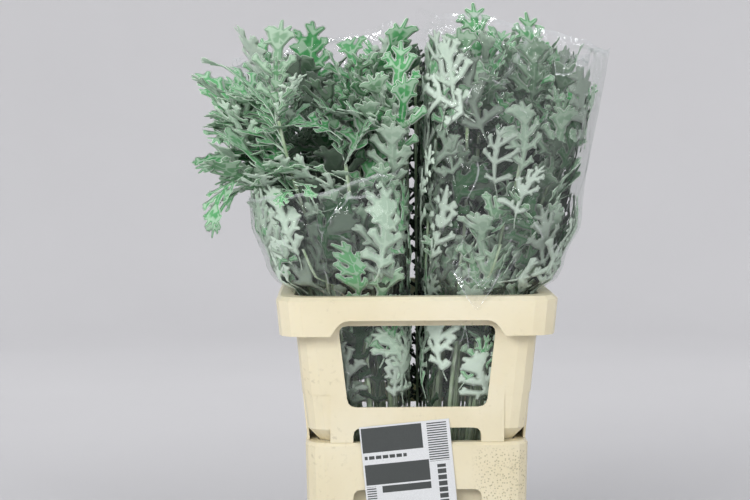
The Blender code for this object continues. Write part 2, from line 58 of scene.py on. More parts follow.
# The sizes and the rules of growth that the solids follow
WALL = 2.5 * MM
GAP = 0.3 * MM
BUCKET_HEIGHT = 190 * MM
COLLAR_TOP_Z = 363 * MM
STEMS = 10
STEM_RADIUS = 2.9 * MM
STEM_SIDES = 5
STEM_FOOT_Z = WALL + GAP
BUNDLE_AT = (48 * MM, 38 * MM)
BAND_Z = 95 * MM
BAND_BUNDLE = 6.2 * MM
FOOT_BUNDLE = 14 * MM
STEM_BEND_Z = 385 * MM
STEM_SPREAD = 0.62
FILM = 0.8 * MM
FILM_CLEARANCE = 1.2 * MM
SLEEVE_SIDES = 14
SLEEVE_SQUARENESS = 2.7
SLEEVE_PROFILE = (
    (130 * MM, 12 * MM, 88 * MM, 6 * MM, 70 * MM),
    (190 * MM, 1 * MM, 111.2 * MM, 1 * MM, 86.4 * MM),
    (364.5 * MM, 1 * MM, 141.2 * MM, 1 * MM, 116.1 * MM),
    (394 * MM, 1 * MM, 162 * MM, 1 * MM, 131 * MM),
    (440 * MM, 1 * MM, 187 * MM, 1 * MM, 148 * MM),
    (646 * MM, 1 * MM, 224 * MM, 1 * MM, 166 * MM),
    (700 * MM, 1 * MM, 230 * MM, 1 * MM, 168 * MM),
)
LEAF_LENGTH = (100 * MM, 142 * MM)
LEAF_WIDTH_SHARE = 0.56
LEAF_CLEARANCE = 1.3 * MM
LEAF_TRIES = 700
ROOMY_Z = 425 * MM
GOLDEN_ANGLE = math.radians(137.5)
RIB = ((0.0, 0.045), (0.34, 0.07), (0.56, 0.17), (0.75, 0.20))
LOBES = (((0.42, 0.84), (0.57, 0.96)), ((0.64, 1.0), (0.80, 0.86)))
TIP = ((0.90, 0.42), (1.0, 0.0))


class Bunch:
    """One bunch: its quarter of the bucket, its film's top and lip, its leaves' reach, and its seed."""

    def __init__(self, name, side_x, side_y, sleeve_top, lip, leaf_top, reach, spread, leaves, seed):
        self.name, self.side_x, self.side_y = name, side_x, side_y
        self.sleeve_top, self.lip, self.leaf_top = sleeve_top * MM, lip * MM, leaf_top * MM
        self.reach, self.spread, self.leaves, self.seed = reach * MM, spread, leaves, seed


BUNCHES = (
    Bunch("front_left", -1, -1, 476, 0, 676, 262, 0.95, 44, 11),
    Bunch("front_right", 1, -1, 696, 48, 692, 226, 0.80, 40, 23),
    Bunch("back_left", -1, 1, 690, 50, 698, 226, 0.80, 38, 37),
    Bunch("back_right", 1, 1, 688, 46, 692, 226, 0.80, 36, 41),
)

# Fine leaves
LEAF_SHAPES = 8
YOUNG_SHAPES = 3
BLADE = 0.8 * MM
RIB_RISE = 0.7 * MM
MARGIN_DEPTH = 0.018  # how far the blade's colours change from its margin, as a share of its length
YOUNG_LENGTH = 99 * MM  # shorter leaves are young ones
FILLERS = 98  # leaves that each bunch gets between those of the solids
SHORT_SLEEVE_FILLERS = 122  # the same for the bunch whose sleeve ends low
FILLER_TRIES = 60
FILLER_LOW_Z = 230 * MM
TIP_LEAVES = 4  # small young leaves at the top of each stem
PRESSED_LOW = 32  # leaves that lie flat against each sleeve in the collar, behind its windows
PRESSED_HIGH = 38  # and those above the collar
PRESSED_INNER = 26  # and those on its inner side, which faces the next bunch
PRESSED_OUTER = 11  # and those in the belly of the loose film
PRESSED_TOP_Z = 655 * MM
FRONT_REACH = 173 * MM  # how far any leaf reaches to the front
OVER_GAP = 34 * MM  # how far a leaf above its sleeve may reach over the next bunch
TIP_RISE = 18 * MM  # how far a leaf that stands out may rise above its bunch

# Fine stems
STEM_ROUND = 9  # sides of a fine stem
STEM_STEPS = 30
STEM_SWAY = 1.6 * MM
STALKS = 9  # slim side stalks in each bunch, between its stems
STALK_RADIUS = 1.7 * MM
GAP_STALKS = ((5 * MM, 0.3), (10 * MM, 0.55), (15 * MM, 0.8))  # slim stalks beside the back bunches' gap
GAP_STALK_TOP = 640 * MM
GAP_LEAVES = 14  # upright leaves on them

# Film
FOLDS = 46
FILM_AROUND, FILM_UP = 220, 120  # points round a sleeve and up it
SHORT_LIP_RISE = 38 * MM  # how far the short sleeve's lip rises towards the next bunch
RAGGED_LIP = 3 * MM
RIM_BULGE = 12 * MM  # how far a loose sleeve bellies out over the collar's rim
RIM_BULGE_Z = 385 * MM
SHOULDER_BULGE = 5 * MM
SHOULDER_BULGE_Z = 430 * MM
EAR = 10 * MM  # the pointed fold that each sleeve has just above the rim
EAR_Z = 378 * MM
FOLD_TIP = (66 * MM, -141 * MM, 348 * MM)  # the point of the corner that hangs over the rim
FOLD_TOP_Z = 393 * MM

# Leaves that stand out: bunch, height on the stem, spot they point at, length, bend, roll, greenness
STANDING_OUT = (
    ("front_left", 505, (-8, -158, 600), 118, 14, 180, 0.8),
    ("front_left", 575, (4, -152, 690), 128, 16, 175, 0.7),
    ("front_left", 560, (-30, -150, 680), 118, 22, 190, 0.6),
    ("front_left", 585, (-165, -120, 690), 112, 18, 168, 0.75),
    ("front_left", 500, (-250, -135, 520), 108, 105, 10, 0.45),
    ("front_left", 485, (-60, -168, 520), 105, 80, 8, 0.3),
    ("front_left", 488, (-120, -166, 515), 110, 85, -12, 0.35),
    ("front_left", 482, (-160, -160, 505), 104, 90, 14, 0.3),
    ("front_right", 590, (60, -120, 690), 112, 16, 180, 0.85),
    ("front_right", 580, (135, -120, 690), 112, 18, 172, 0.8),
)

CAMERA_AT = (-0.082, -2.262, 0.565)
CAMERA_TURN = math.radians(-0.90)
CAMERA_DROP = math.radians(3.98)
CAMERA_ROLL = math.radians(-0.31)
CAMERA_LENS = 90

FLOOR_RADIUS, WALL_CURVE, WALL_HEIGHT = 2.6, 1.8, 4.2  # metres, a round paper studio


# Colours and materials


def linear(code, alpha=1.0):
    """An sRGB hex colour as linear values."""
    values = []
    for i in (1, 3, 5):
        share = int(code[i : i + 2], 16) / 255
        values.append(share / 12.92 if share <= 0.04045 else ((share + 0.055) / 1.055) ** 2.4)
    return (*values, alpha)


def add_node(tree, kind, settings=None, values=None, links=None, stops=()):
    """Adds a shader node to a tree, with its settings, the values of its sockets, what is linked to them,
    and the stops of a ramp. A kind is the type's name without ShaderNode. A link is another node's socket,
    or a node, whose first open output it takes."""
    node = tree.nodes.new("ShaderNode" + kind)
    for name, value in (settings or {}).items():
        setattr(node, name, value)
    for socket, value in (values or {}).items():
        node.inputs[socket].default_value = value
    for socket, source in (links or {}).items():
        if isinstance(source, bpy.types.Node):
            source = next(output for output in source.outputs if output.enabled)
        tree.links.new(source, node.inputs[socket])
    for element, (position, colour) in zip(range(len(stops)), stops):
        elements = node.color_ramp.elements
        if element >= len(elements):
            elements.new(position)
        elements[element].position = position
        elements[element].color = colour
    return node


def new_material(name):
    made = bpy.data.materials.new(name)
    made.use_nodes = True
    made.node_tree.nodes.clear()
    return made, made.node_tree


def grey(level):
    return (level, level, level, 1.0)


def felted_leaf():
    """Leaf blade under white wool: matt, pale where the wool is thick, on margins, ribs and the underside,
    and green where it is thin on the upper face. The wool's hairs are under 0.1 mm, so the grain is drawn
    at 0.7 mm. Leaves deep inside a bunch or behind the film are multiplied towards dark green: painted shade."""
    made, tree = new_material("felted_leaf")
    shape = add_node(tree, "Attribute", {"attribute_name": "blade"})
    parts = add_node(tree, "SeparateColor", links={"Color": shape.outputs["Color"]})
    inside, rib, under = (parts.outputs[i] for i in range(3))
    # Per leaf: random brightness, greenness, and painted shade for leaves deep inside the bunch
    growth = add_node(tree, "Attribute", {"attribute_name": "growth"})
    tint_and_shade_parts = add_node(tree, "SeparateColor", links={"Color": growth.outputs["Color"]})
    lot, green, deep = (tint_and_shade_parts.outputs[i] for i in range(3))
    spot = add_node(tree, "TexCoord").outputs["Object"]
    patches = add_node(tree, "TexNoise", values={"Scale": 90.0, "Detail": 3.0}, links={"Vector": spot})
    grain = add_node(tree, "TexNoise", values={"Scale": 1400.0, "Detail": 2.0}, links={"Vector": spot})

    colours = {"data_type": "RGBA"}
    leafy = add_node(
        tree, "Mix", colours, {"A": linear("#87B48E"), "B": linear("#4D8057")}, {"Factor": green}
    )
    worn = {"From Min": 0.4, "From Max": 0.75, "To Max": 0.5}
    thin = add_node(tree, "MapRange", values=worn, links={"Value": patches})
    wool = add_node(
        tree, "Mix", colours, {"B": linear("#92BC96")}, {"A": leafy, "Factor": thin}
    )
    white_edge = ((0.1, grey(1.0)), (0.34, grey(0.55)), (0.5, grey(0.0)))
    margin = add_node(tree, "ValToRGB", links={"Fac": inside}, stops=white_edge)
    ribs = add_node(tree, "ValToRGB", links={"Fac": rib}, stops=((0.55, grey(0.0)), (0.95, grey(0.42))))
    thick = add_node(tree, "Math", {"operation": "MAXIMUM"}, links={0: margin, 1: ribs})
    upper = add_node(
        tree, "Mix", colours, {"B": linear("#E0E8DF")}, {"A": wool, "Factor": thick}
    )
    back = add_node(
        tree, "Mix", colours, {"A": linear("#D6E1D7"), "B": linear("#66896A")}, {"Factor": green}
    )
    lower = add_node(tree, "Mix", colours, {"B": linear("#D3DFD2")}, {"A": back, "Factor": thick})
    side = add_node(tree, "ValToRGB", links={"Fac": under}, stops=((0.35, grey(0.0)), (0.65, grey(1.0))))
    both = add_node(tree, "Mix", colours, links={"A": upper, "B": lower, "Factor": side})
    # Painted shade: multiplies leaves deep inside a bunch towards dark green
    shade = add_node(
        tree,
        "Mix",
        {"data_type": "RGBA", "blend_type": "MULTIPLY"},
        {"B": linear("#2C3B2D")},
        {"A": both, "Factor": deep},
    )
    bright = add_node(tree, "MapRange", values={"To Min": 0.88, "To Max": 1.22}, links={"Value": lot})
    varied = add_node(
        tree, "HueSaturation", values={"Saturation": 1.4}, links={"Color": shade, "Value": bright}
    )
    relief = add_node(
        tree, "Math", {"operation": "MULTIPLY_ADD"}, {1: 0.35}, {0: grain, 2: patches}
    )
    bump = add_node(
        tree, "Bump", values={"Strength": 0.5, "Distance": 0.0012}, links={"Height": relief}
    )
    felt = add_node(
        tree,
        "BsdfPrincipled",
        values={
            "Roughness": 0.82,
            "Sheen Weight": 0.2,
            "Sheen Roughness": 0.45,
            "Specular IOR Level": 0.25,
        },
        links={"Base Color": varied, "Normal": bump},
    )
    add_node(tree, "OutputMaterial", links={"Surface": felt})
    return made


def felted_stem():
    """Green stem under a coat of white wool, which is rubbed off in streaks."""
    made, tree = new_material("felted_stem")
    spot = add_node(tree, "TexCoord").outputs["Object"]
    drawn_out = add_node(tree, "Mapping", values={"Scale": (260.0, 260.0, 30.0)}, links={"Vector": spot})
    streaks = add_node(
        tree, "TexNoise", values={"Scale": 1.0, "Detail": 3.0}, links={"Vector": drawn_out}
    )
    colour = add_node(
        tree,
        "ValToRGB",
        links={"Fac": streaks},
        stops=((0.3, linear("#8FA97E")), (0.55, linear("#AEC1A4")), (0.75, linear("#CDD7C8"))),
    )
    bump = add_node(
        tree, "Bump", values={"Strength": 0.4, "Distance": 0.0008}, links={"Height": streaks}
    )
    felt = add_node(
        tree,
        "BsdfPrincipled",
        values={"Roughness": 0.8, "Sheen Weight": 0.2, "Specular IOR Level": 0.25},
        links={"Base Color": colour, "Normal": bump},
    )
    add_node(tree, "OutputMaterial", links={"Surface": felt})
    return made


def clear_film():
    """Oriented polypropylene film, 0.04 mm: clear and glossy, with a faint haze, white lines where it was
    creased and fine crinkles. Creases are under 0.5 mm wide and are drawn at 1 mm."""
    made, tree = new_material("clear_film")
    spot = add_node(tree, "TexCoord").outputs["Object"]
    marks = add_node(tree, "Attribute", {"attribute_name": "fold"})
    parts = add_node(tree, "SeparateColor", links={"Color": marks.outputs["Color"]})
    fold, inner = parts.outputs[0], parts.outputs[1]
    sway = add_node(tree, "TexNoise", values={"Scale": 12.0, "Detail": 2.0}, links={"Vector": spot})
    swayed = add_node(
        tree,
        "VectorMath",
        {"operation": "MULTIPLY_ADD"},
        {1: (0.05, 0.05, 0.05)},
        {0: sway.outputs["Color"], 2: spot},
    )
    long_ways = add_node(tree, "Mapping", values={"Scale": (24.0, 24.0, 13.0)}, links={"Vector": swayed})
    facets = add_node(
        tree, "TexVoronoi", {"feature": "DISTANCE_TO_EDGE"}, {"Scale": 1.0}, {"Vector": long_ways}
    )
    crinkles = add_node(
        tree, "TexVoronoi", {"feature": "DISTANCE_TO_EDGE"}, {"Scale": 3.3}, {"Vector": long_ways}
    )
    soft = add_node(tree, "TexNoise", values={"Scale": 30.0, "Detail": 4.0}, links={"Vector": spot})
    relief = add_node(
        tree, "Math", {"operation": "MULTIPLY_ADD"}, {1: 0.8}, {0: facets, 2: soft}
    )
    relief = add_node(
        tree, "Math", {"operation": "MULTIPLY_ADD"}, {1: 0.35}, {0: crinkles, 2: relief}
    )
    bump = add_node(tree, "Bump", values={"Strength": 0.7, "Distance": 0.01}, links={"Height": relief})
    lines = add_node(
        tree, "ValToRGB", links={"Fac": facets}, stops=((0.006, grey(1.0)), (0.022, grey(0.0)))
    )
    broken = add_node(
        tree, "ValToRGB", links={"Fac": soft}, stops=((0.5, grey(0.0)), (0.62, grey(0.42)))
    )
    creased = add_node(tree, "Math", {"operation": "MULTIPLY"}, links={0: lines, 1: broken})
    haze = add_node(
        tree,
        "ValToRGB",
        links={"Fac": fold},
        stops=((0.0, grey(0.045)), (0.5, grey(0.10)), (1.0, grey(0.55))),
    )
    hazy = add_node(tree, "Math", {"operation": "MAXIMUM"}, links={0: haze, 1: creased})
    grazing = add_node(tree, "LayerWeight", values={"Blend": 0.3})
    outer = add_node(
        tree, "Math", {"operation": "MULTIPLY_ADD"}, {1: 0.25}, {0: grazing.outputs["Fresnel"], 2: hazy}
    )
    openness = add_node(tree, "MapRange", values={"To Min": 1.0, "To Max": 0.08}, links={"Value": inner})
    seen = add_node(tree, "Math", {"operation": "MULTIPLY"}, links={0: outer, 1: openness})
    gloss = add_node(
        tree,
        "BsdfPrincipled",
        values={
            "Base Color": linear("#E4E9EA"),
            "Metallic": 0.45,
            "Roughness": 0.09,
            "IOR": 2.4,
            "Specular IOR Level": 1.0,
        },
        links={"Alpha": seen, "Normal": bump},
    )
    add_node(tree, "OutputMaterial", links={"Surface": gloss})
    return made


def cream_polypropylene():
    """Moulded polypropylene crate plastic: satin, slightly uneven cream, with grime in its pores and a
    rubbed, stippled patch low on the bucket's right front."""
    made, tree = new_material("cream_polypropylene")
    spot = add_node(tree, "TexCoord").outputs["Object"]
    cloud = add_node(tree, "TexNoise", values={"Scale": 9.0, "Detail": 5.0}, links={"Vector": spot})
    base = add_node(
        tree,
        "ValToRGB",
        links={"Fac": cloud},
        stops=((0.3, linear("#E6DBBA")), (0.5, linear("#EBE1C2")), (0.75, linear("#EFE7CD"))),
    )
    specks = add_node(tree, "TexNoise", values={"Scale": 160.0, "Detail": 6.0}, links={"Vector": spot})
    where = add_node(tree, "TexNoise", values={"Scale": 14.0, "Detail": 2.0}, links={"Vector": spot})
    dirty = add_node(
        tree, "ValToRGB", links={"Fac": specks}, stops=((0.58, grey(0.0)), (0.72, grey(1.0)))
    )
    worn = add_node(
        tree, "ValToRGB", links={"Fac": where}, stops=((0.5, grey(0.06)), (0.72, grey(0.7)))
    )
    dirt = add_node(tree, "Math", {"operation": "MULTIPLY"}, links={0: dirty, 1: worn})
    place = add_node(tree, "SeparateXYZ", links={"Vector": spot})
    patch = None
    for axis, start, end in (("X", 0.062, 0.078), ("Z", 0.187, 0.176), ("Y", -0.08, -0.095)):
        reach = add_node(
            tree,
            "MapRange",
            values={"From Min": start, "From Max": end},
            links={"Value": place.outputs[axis]},
        )
        if patch:
            reach = add_node(tree, "Math", {"operation": "MULTIPLY"}, links={0: patch, 1: reach})
        patch = reach
    stipple = add_node(tree, "TexVoronoi", values={"Scale": 330.0}, links={"Vector": spot})
    dots = add_node(
        tree,
        "ValToRGB",
        links={"Fac": stipple.outputs["Distance"]},
        stops=((0.1, grey(1.0)), (0.42, grey(0.0))),
    )
    pits = add_node(tree, "Math", {"operation": "MULTIPLY"}, links={0: dots, 1: patch})
    soiled = add_node(
        tree, "Mix", {"data_type": "RGBA"}, {"B": linear("#B0A684")}, {"A": base, "Factor": dirt}
    )
    pitted = add_node(
        tree, "Mix", {"data_type": "RGBA"}, {"B": linear("#B4AA86")}, {"A": soiled, "Factor": pits}
    )
    relief = add_node(
        tree, "Math", {"operation": "MULTIPLY_ADD"}, {1: -3.0}, {0: pits, 2: specks}
    )
    bump = add_node(
        tree, "Bump", values={"Strength": 0.12, "Distance": 0.001}, links={"Height": relief}
    )
    rough = add_node(
        tree, "MapRange", values={"To Min": 0.3, "To Max": 0.56}, links={"Value": cloud}
    )
    satin = add_node(
        tree,
        "BsdfPrincipled",
        values={"IOR": 1.49, "Subsurface Weight": 0.08, "Subsurface Radius": (0.01, 0.008, 0.004)},
        links={"Base Color": pitted, "Roughness": rough, "Normal": bump},
    )
    add_node(tree, "OutputMaterial", links={"Surface": satin})
    return made


def plain_finish(name, colour, roughness, grain_mm, depth_mm, contrast=0.14, **values):
    """A matt or satin finish whose grain, of a size in millimetres, shows in its colour and relief."""
    made, tree = new_material(name)
    spot = add_node(tree, "TexCoord").outputs["Object"]
    grain = add_node(
        tree, "TexNoise", values={"Scale": 1000.0 / grain_mm, "Detail": 3.0}, links={"Vector": spot}
    )
    darker = tuple((1 - contrast) * part for part in linear(colour)[:3]) + (1.0,)
    tone = add_node(
        tree, "ValToRGB", links={"Fac": grain}, stops=((0.35, darker), (0.65, linear(colour)))
    )
    bump = add_node(
        tree, "Bump", values={"Strength": 0.3, "Distance": depth_mm * MM}, links={"Height": grain}
    )
    settings = {"Roughness": roughness}
    settings.update({label.replace("_", " "): value for label, value in values.items()})
    finish = add_node(
        tree, "BsdfPrincipled", values=settings, links={"Base Color": tone, "Normal": bump}
    )
    add_node(tree, "OutputMaterial", links={"Surface": finish})
    return made


# Mesh helpers


def mesh_from(name, points, faces, material, smooth=True, attributes=None):
    """A mesh object from arrays of points and faces, with colours for its points."""
    mesh = bpy.data.meshes.new(name)
    mesh.from_pydata([tuple(p) for p in points], [], [tuple(int(i) for i in f) for f in faces])
    for label, colours in (attributes or {}).items():
        layer = mesh.color_attributes.new(label, "FLOAT_COLOR", "POINT")
        layer.data.foreach_set("color", np.asarray(colours, np.float32).ravel())
    mesh.materials.append(material)
    if smooth:
        mesh.shade_smooth()
    made = bpy.data.objects.new(name, mesh)
    bpy.context.scene.collection.objects.link(made)
    return made


def ride_on_root(piece):
    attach(piece, "root")
    return piece


# Growth, as in the solids


def sleeve_at(bunch, height):
    rows = SLEEVE_PROFILE
    height = min(max(height, rows[0][0]), rows[-1][0])
    for low, high in zip(rows, rows[1:]):
        if height <= high[0]:
            break
    share = (height - low[0]) / (high[0] - low[0])
    near_x, far_x, near_y, far_y = (a + (b - a) * share for a, b in zip(low[1:], high[1:]))
    centre = (bunch.side_x * (near_x + far_x) / 2, bunch.side_y * (near_y + far_y) / 2)
    return centre, ((far_x - near_x) / 2, (far_y - near_y) / 2)


def sleeve_ring(bunch, height, inset=0.0, lip=0.0):
    centre, half = sleeve_at(bunch, height)
    half = [side - inset for side in half]
    ring = []
    for step in range(SLEEVE_SIDES):
        angle = math.tau * (step + 0.5) / SLEEVE_SIDES
        across, along = math.cos(angle), math.sin(angle)
        power = 2 / SLEEVE_SQUARENESS
        x = math.copysign(abs(across) ** power, across)
        y = math.copysign(abs(along) ** power, along)
        drop = lip * (1 + bunch.side_x * x) / 2
        ring.append((centre[0] + half[0] * x, centre[1] + half[1] * y, height - drop))
    return ring


def sleeve_rings(bunch, top, inset=0.0):
    below = [row[0] for row in SLEEVE_PROFILE if row[0] < bunch.sleeve_top - bunch.lip - 5 * MM]
    rings = [sleeve_ring(bunch, height, inset) for height in below]
    return rings + [sleeve_ring(bunch, top, inset, bunch.lip)]


def tube_faces(rings, sides, closed=False):
    faces = []
    for row in range(rings - 1):
        for i in range(sides):
            j = (i + 1) % sides
            faces.append((row * sides + i, row * sides + j, (row + 1) * sides + j, (row + 1) * sides + i))
    if closed:
        faces.append(tuple(reversed(range(sides))))
        faces.append(tuple((rings - 1) * sides + i for i in range(sides)))
    return faces


def film_trees(bunch):
    top = bunch.sleeve_top + FILM_CLEARANCE
    trees = []
    for inset in (FILM + FILM_CLEARANCE, -FILM_CLEARANCE):
        rings = sleeve_rings(bunch, top, inset)
        points = [Vector(point) for ring in rings for point in ring]
        trees.append(BVHTree.FromPolygons(points, tube_faces(len(rings), SLEEVE_SIDES)))
    return trees


def stem_spot(index):
    if index < 2:
        return (0.36 * (-1) ** index, 0.1)
    angle = math.tau * (index - 2) / (STEMS - 2) + 0.2
    return (math.cos(angle), math.sin(angle))


def stem_knot(bunch, index, height):
    return knot_at(bunch, stem_spot(index), height)


def knot_at(bunch, spot, height):
    bundle = (bunch.side_x * BUNDLE_AT[0], bunch.side_y * BUNDLE_AT[1])
    if height <= BAND_Z:
        size = BAND_BUNDLE + (FOOT_BUNDLE - BAND_BUNDLE) * (BAND_Z - height) / BAND_Z
        return Vector((bundle[0] + size * spot[0], bundle[1] + size * spot[1], height))
    centre, half = sleeve_at(bunch, height)
    spread = STEM_SPREAD if height <= STEM_BEND_Z else bunch.spread
    return Vector((*(middle + spread * side * at for middle, side, at in zip(centre, half, spot)), height))


def stem_top(bunch, index):
    rank = (index * 7 + bunch.seed) % STEMS
    lift = 18 * MM if index < 2 else 0
    return bunch.leaf_top - 112 * MM - rank * 7 * MM + lift


def stem_axis(bunch, index):
    heights = (STEM_FOOT_Z, BAND_Z, BUCKET_HEIGHT, STEM_BEND_Z, stem_top(bunch, index))
    return [stem_knot(bunch, index, height) for height in heights]


def stem_point(bunch, index, height):
    knots = stem_axis(bunch, index)
    for low, high in zip(knots, knots[1:]):
        if height <= high.z:
            break
    return low.lerp(high, (height - low.z) / (high.z - low.z))


def stem_radius(bunch, height):
    slimmer = max(height - BUCKET_HEIGHT, 0) / (bunch.leaf_top - BUCKET_HEIGHT)
    return STEM_RADIUS * (1 - 0.45 * slimmer)


def level_ring(middle, radius, sides):
    angles = [math.tau * side / sides for side in range(sides)]
    return [middle + Vector((radius * math.cos(angle), radius * math.sin(angle), 0)) for angle in angles]


def stem_tree(bunch, index):
    points = []
    knots = stem_axis(bunch, index)
    for middle in knots:
        points += level_ring(middle, stem_radius(bunch, middle.z), STEM_SIDES)
    return BVHTree.FromPolygons(points, tube_faces(len(knots), STEM_SIDES, closed=True))


class Leaf:
    """Where one leaf grows and how it is bent."""

    def __init__(self, root, turn, rise, roll, bend, cup, length):
        self.root, self.bend, self.cup, self.length = root, bend, cup, length
        self.half_width = length * LEAF_WIDTH_SHARE / 2
        outward = Vector((math.cos(turn), math.sin(turn), 0))
        self.along = outward * math.cos(rise) + Vector((0, 0, math.sin(rise)))
        face = -outward * math.sin(rise) + Vector((0, 0, math.cos(rise)))
        self.face = Matrix.Rotation(roll, 3, self.along) @ face
        self.across = self.along.cross(self.face)

    def point(self, along, across):
        curl = self.bend / self.length
        run = along * self.length * curl
        middle = self.root + (self.along * math.sin(run) - self.face * (1 - math.cos(run))) / curl
        normal = self.face * math.cos(run) + self.along * math.sin(run)
        side = across * self.half_width
        return middle + self.across * side + normal * self.cup * side * side / self.half_width


def leaf_outline():
    points, faces = [], []
    for side in (-1, 1):
        points += [(along, side * across) for along, across in RIB]
    left, right = range(len(RIB)), range(len(RIB), 2 * len(RIB))
    for row in range(len(RIB) - 1):
        faces.append((left[row], right[row], right[row + 1]))
        faces.append((left[row], right[row + 1], left[row + 1]))
    for edge, side in ((left, -1), (right, 1)):
        for row, lobe in enumerate(LOBES, start=1):
            low, high = len(points), len(points) + 1
            points += [(along, side * across) for along, across in lobe]
            lobe_faces = [(edge[row], edge[row + 1], high), (edge[row], high, low)]
            faces += [face if side < 0 else face[::-1] for face in lobe_faces]
    (shoulder, width), end = TIP
    first = len(points)
    points += [(shoulder, -width), end, (shoulder, width)]
    faces.append((left[-1], right[-1], first + 1))
    faces.append((left[-1], first + 1, first))
    faces.append((right[-1], first + 2, first + 1))
    return points, faces


OUTLINE_POINTS, OUTLINE_FACES = leaf_outline()


def leaf_tree(leaf, clearance):
    points, faces = [], []
    shift = leaf.face * clearance
    for layer in (-1, 0, 1):
        start = len(points)
        points += [leaf.point(along, across) + shift * layer for along, across in OUTLINE_POINTS]
        faces += [tuple(start + i for i in face) for face in OUTLINE_FACES]
    return BVHTree.FromPolygons(points, faces)


def draw_leaf(bunch, index, number, chance):
    top = stem_top(bunch, index)
    share = (number // STEMS + chance.random()) / (bunch.leaves / STEMS)
    low = 205 * MM
    height = low + (top - 6 * MM - low) * min(share**0.8, 1.0)
    return leaf_on_stem(bunch, index, number, height, chance)


def leaf_on_stem(bunch, index, number, height, chance):
    root = stem_point(bunch, index, height)
    spot = stem_spot(index)
    outward = math.atan2(spot[1], spot[0])
    if index >= 2:
        turn = outward + chance.uniform(-1.9, 1.9)
    else:
        turn = number * GOLDEN_ANGLE + chance.uniform(-1, 1)
    if height > bunch.leaf_top - 175 * MM:
        low_rise, high_rise = 30, 84
    elif height > bunch.sleeve_top - 75 * MM:
        low_rise, high_rise = -20, 65
    elif height > ROOMY_Z:
        low_rise, high_rise = 10, 70
    else:
        low_rise, high_rise = 48, 84
    rise = math.radians(chance.uniform(low_rise, high_rise))
    bend = math.radians(chance.uniform(15, 90) if height > bunch.sleeve_top else chance.uniform(4, 50))
    length = chance.uniform(*LEAF_LENGTH)
    roll = math.radians(chance.uniform(-35, 35))
    return Leaf(root, turn, rise, roll, bend, chance.uniform(0.08, 0.3), length)


def aimed_leaf(bunch, height, target, length, bend, roll):
    """A leaf that grows from the nearest stem at a height and points at a spot."""
    target = Vector(target)
    roots = [stem_point(bunch, index, min(height, stem_top(bunch, index))) for index in range(STEMS)]
    root = min(roots, key=lambda spot: (spot - target).length)
    way = target - root
    turn, rise = math.atan2(way.y, way.x), math.atan2(way.z, math.hypot(way.x, way.y))
    return Leaf(root, turn, rise, roll, bend, 0.12, length)


def within(bunch, leaf, over_gap=0.0):
    for along, across in OUTLINE_POINTS[1:]:
        x, y, z = leaf.point(along, across)
        if x * bunch.side_x < 3 * MM - over_gap or y * bunch.side_y < 3 * MM:
            return False
        if z > bunch.leaf_top or abs(x) > bunch.reach or abs(y) > 172 * MM:
            return False
        if z < COLLAR_TOP_Z + 22 * MM and (abs(x) > 138 * MM or abs(y) > 113 * MM):
            return False
    return True


def grow_leaves(bunch, films, placed):
    chance = random.Random(bunch.seed)
    stem_trees = [stem_tree(bunch, index) for index in range(STEMS)]
    leaves = []
    for number in range(bunch.leaves):
        index = (number * 3) % STEMS
        for _ in range(LEAF_TRIES):
            leaf = draw_leaf(bunch, index, number, chance)
            if not within(bunch, leaf):
                continue
            tree = leaf_tree(leaf, LEAF_CLEARANCE)
            others = [stem for i, stem in enumerate(stem_trees) if i != index]
            if any(tree.overlap(other) for other in films + placed + others):
                continue
            leaves.append(leaf)
            placed.append(leaf_tree(leaf, 0.0))
            break
    return leaves


def fill_leaves(bunch, films, count, chance):
    """More leaves between those of the solids, thickest in the upper part, each clear of the film."""
    leaves = []
    for number in range(count):
        index = number % STEMS
        top = stem_top(bunch, index)
        for _ in range(FILLER_TRIES):
            share = chance.random() ** (0.45 if number % 4 else 1.2)
            height = FILLER_LOW_Z + (top - 4 * MM - FILLER_LOW_Z) * share
            if bunch.lip == 0 and number % 3 == 0:
                height = chance.uniform(bunch.sleeve_top - 25 * MM, bunch.sleeve_top + 75 * MM)
            leaf = leaf_on_stem(bunch, index, number, height, chance)
            if not within(bunch, leaf, OVER_GAP if height > bunch.sleeve_top - 25 * MM else 0.0):
                continue
            tree = leaf_tree(leaf, 0.5 * MM)
            if any(tree.overlap(film) for film in films):
                continue
            leaves.append(leaf)
            break
    return leaves


def young_leaves(bunch, films, chance):
    """The small upright leaves round each stem's tip."""
    leaves = []
    for index in range(STEMS):
        root = stem_point(bunch, index, stem_top(bunch, index) - 2 * MM)
        for number in range(TIP_LEAVES):
            for _ in range(12):
                leaf = Leaf(
                    root,
                    number * GOLDEN_ANGLE + chance.uniform(-0.4, 0.4),
                    math.radians(chance.uniform(50, 86)),
                    math.radians(chance.uniform(-25, 25)),
                    math.radians(chance.uniform(6, 60)),
                    chance.uniform(0.2, 0.5),
                    chance.uniform(58, 98) * MM,
                )
                tree = leaf_tree(leaf, 0.5 * MM)
                if within(bunch, leaf) and not any(tree.overlap(film) for film in films):
                    leaves.append(leaf)
                    break
    return leaves


# The lobed blade, drawn flat in units of its length


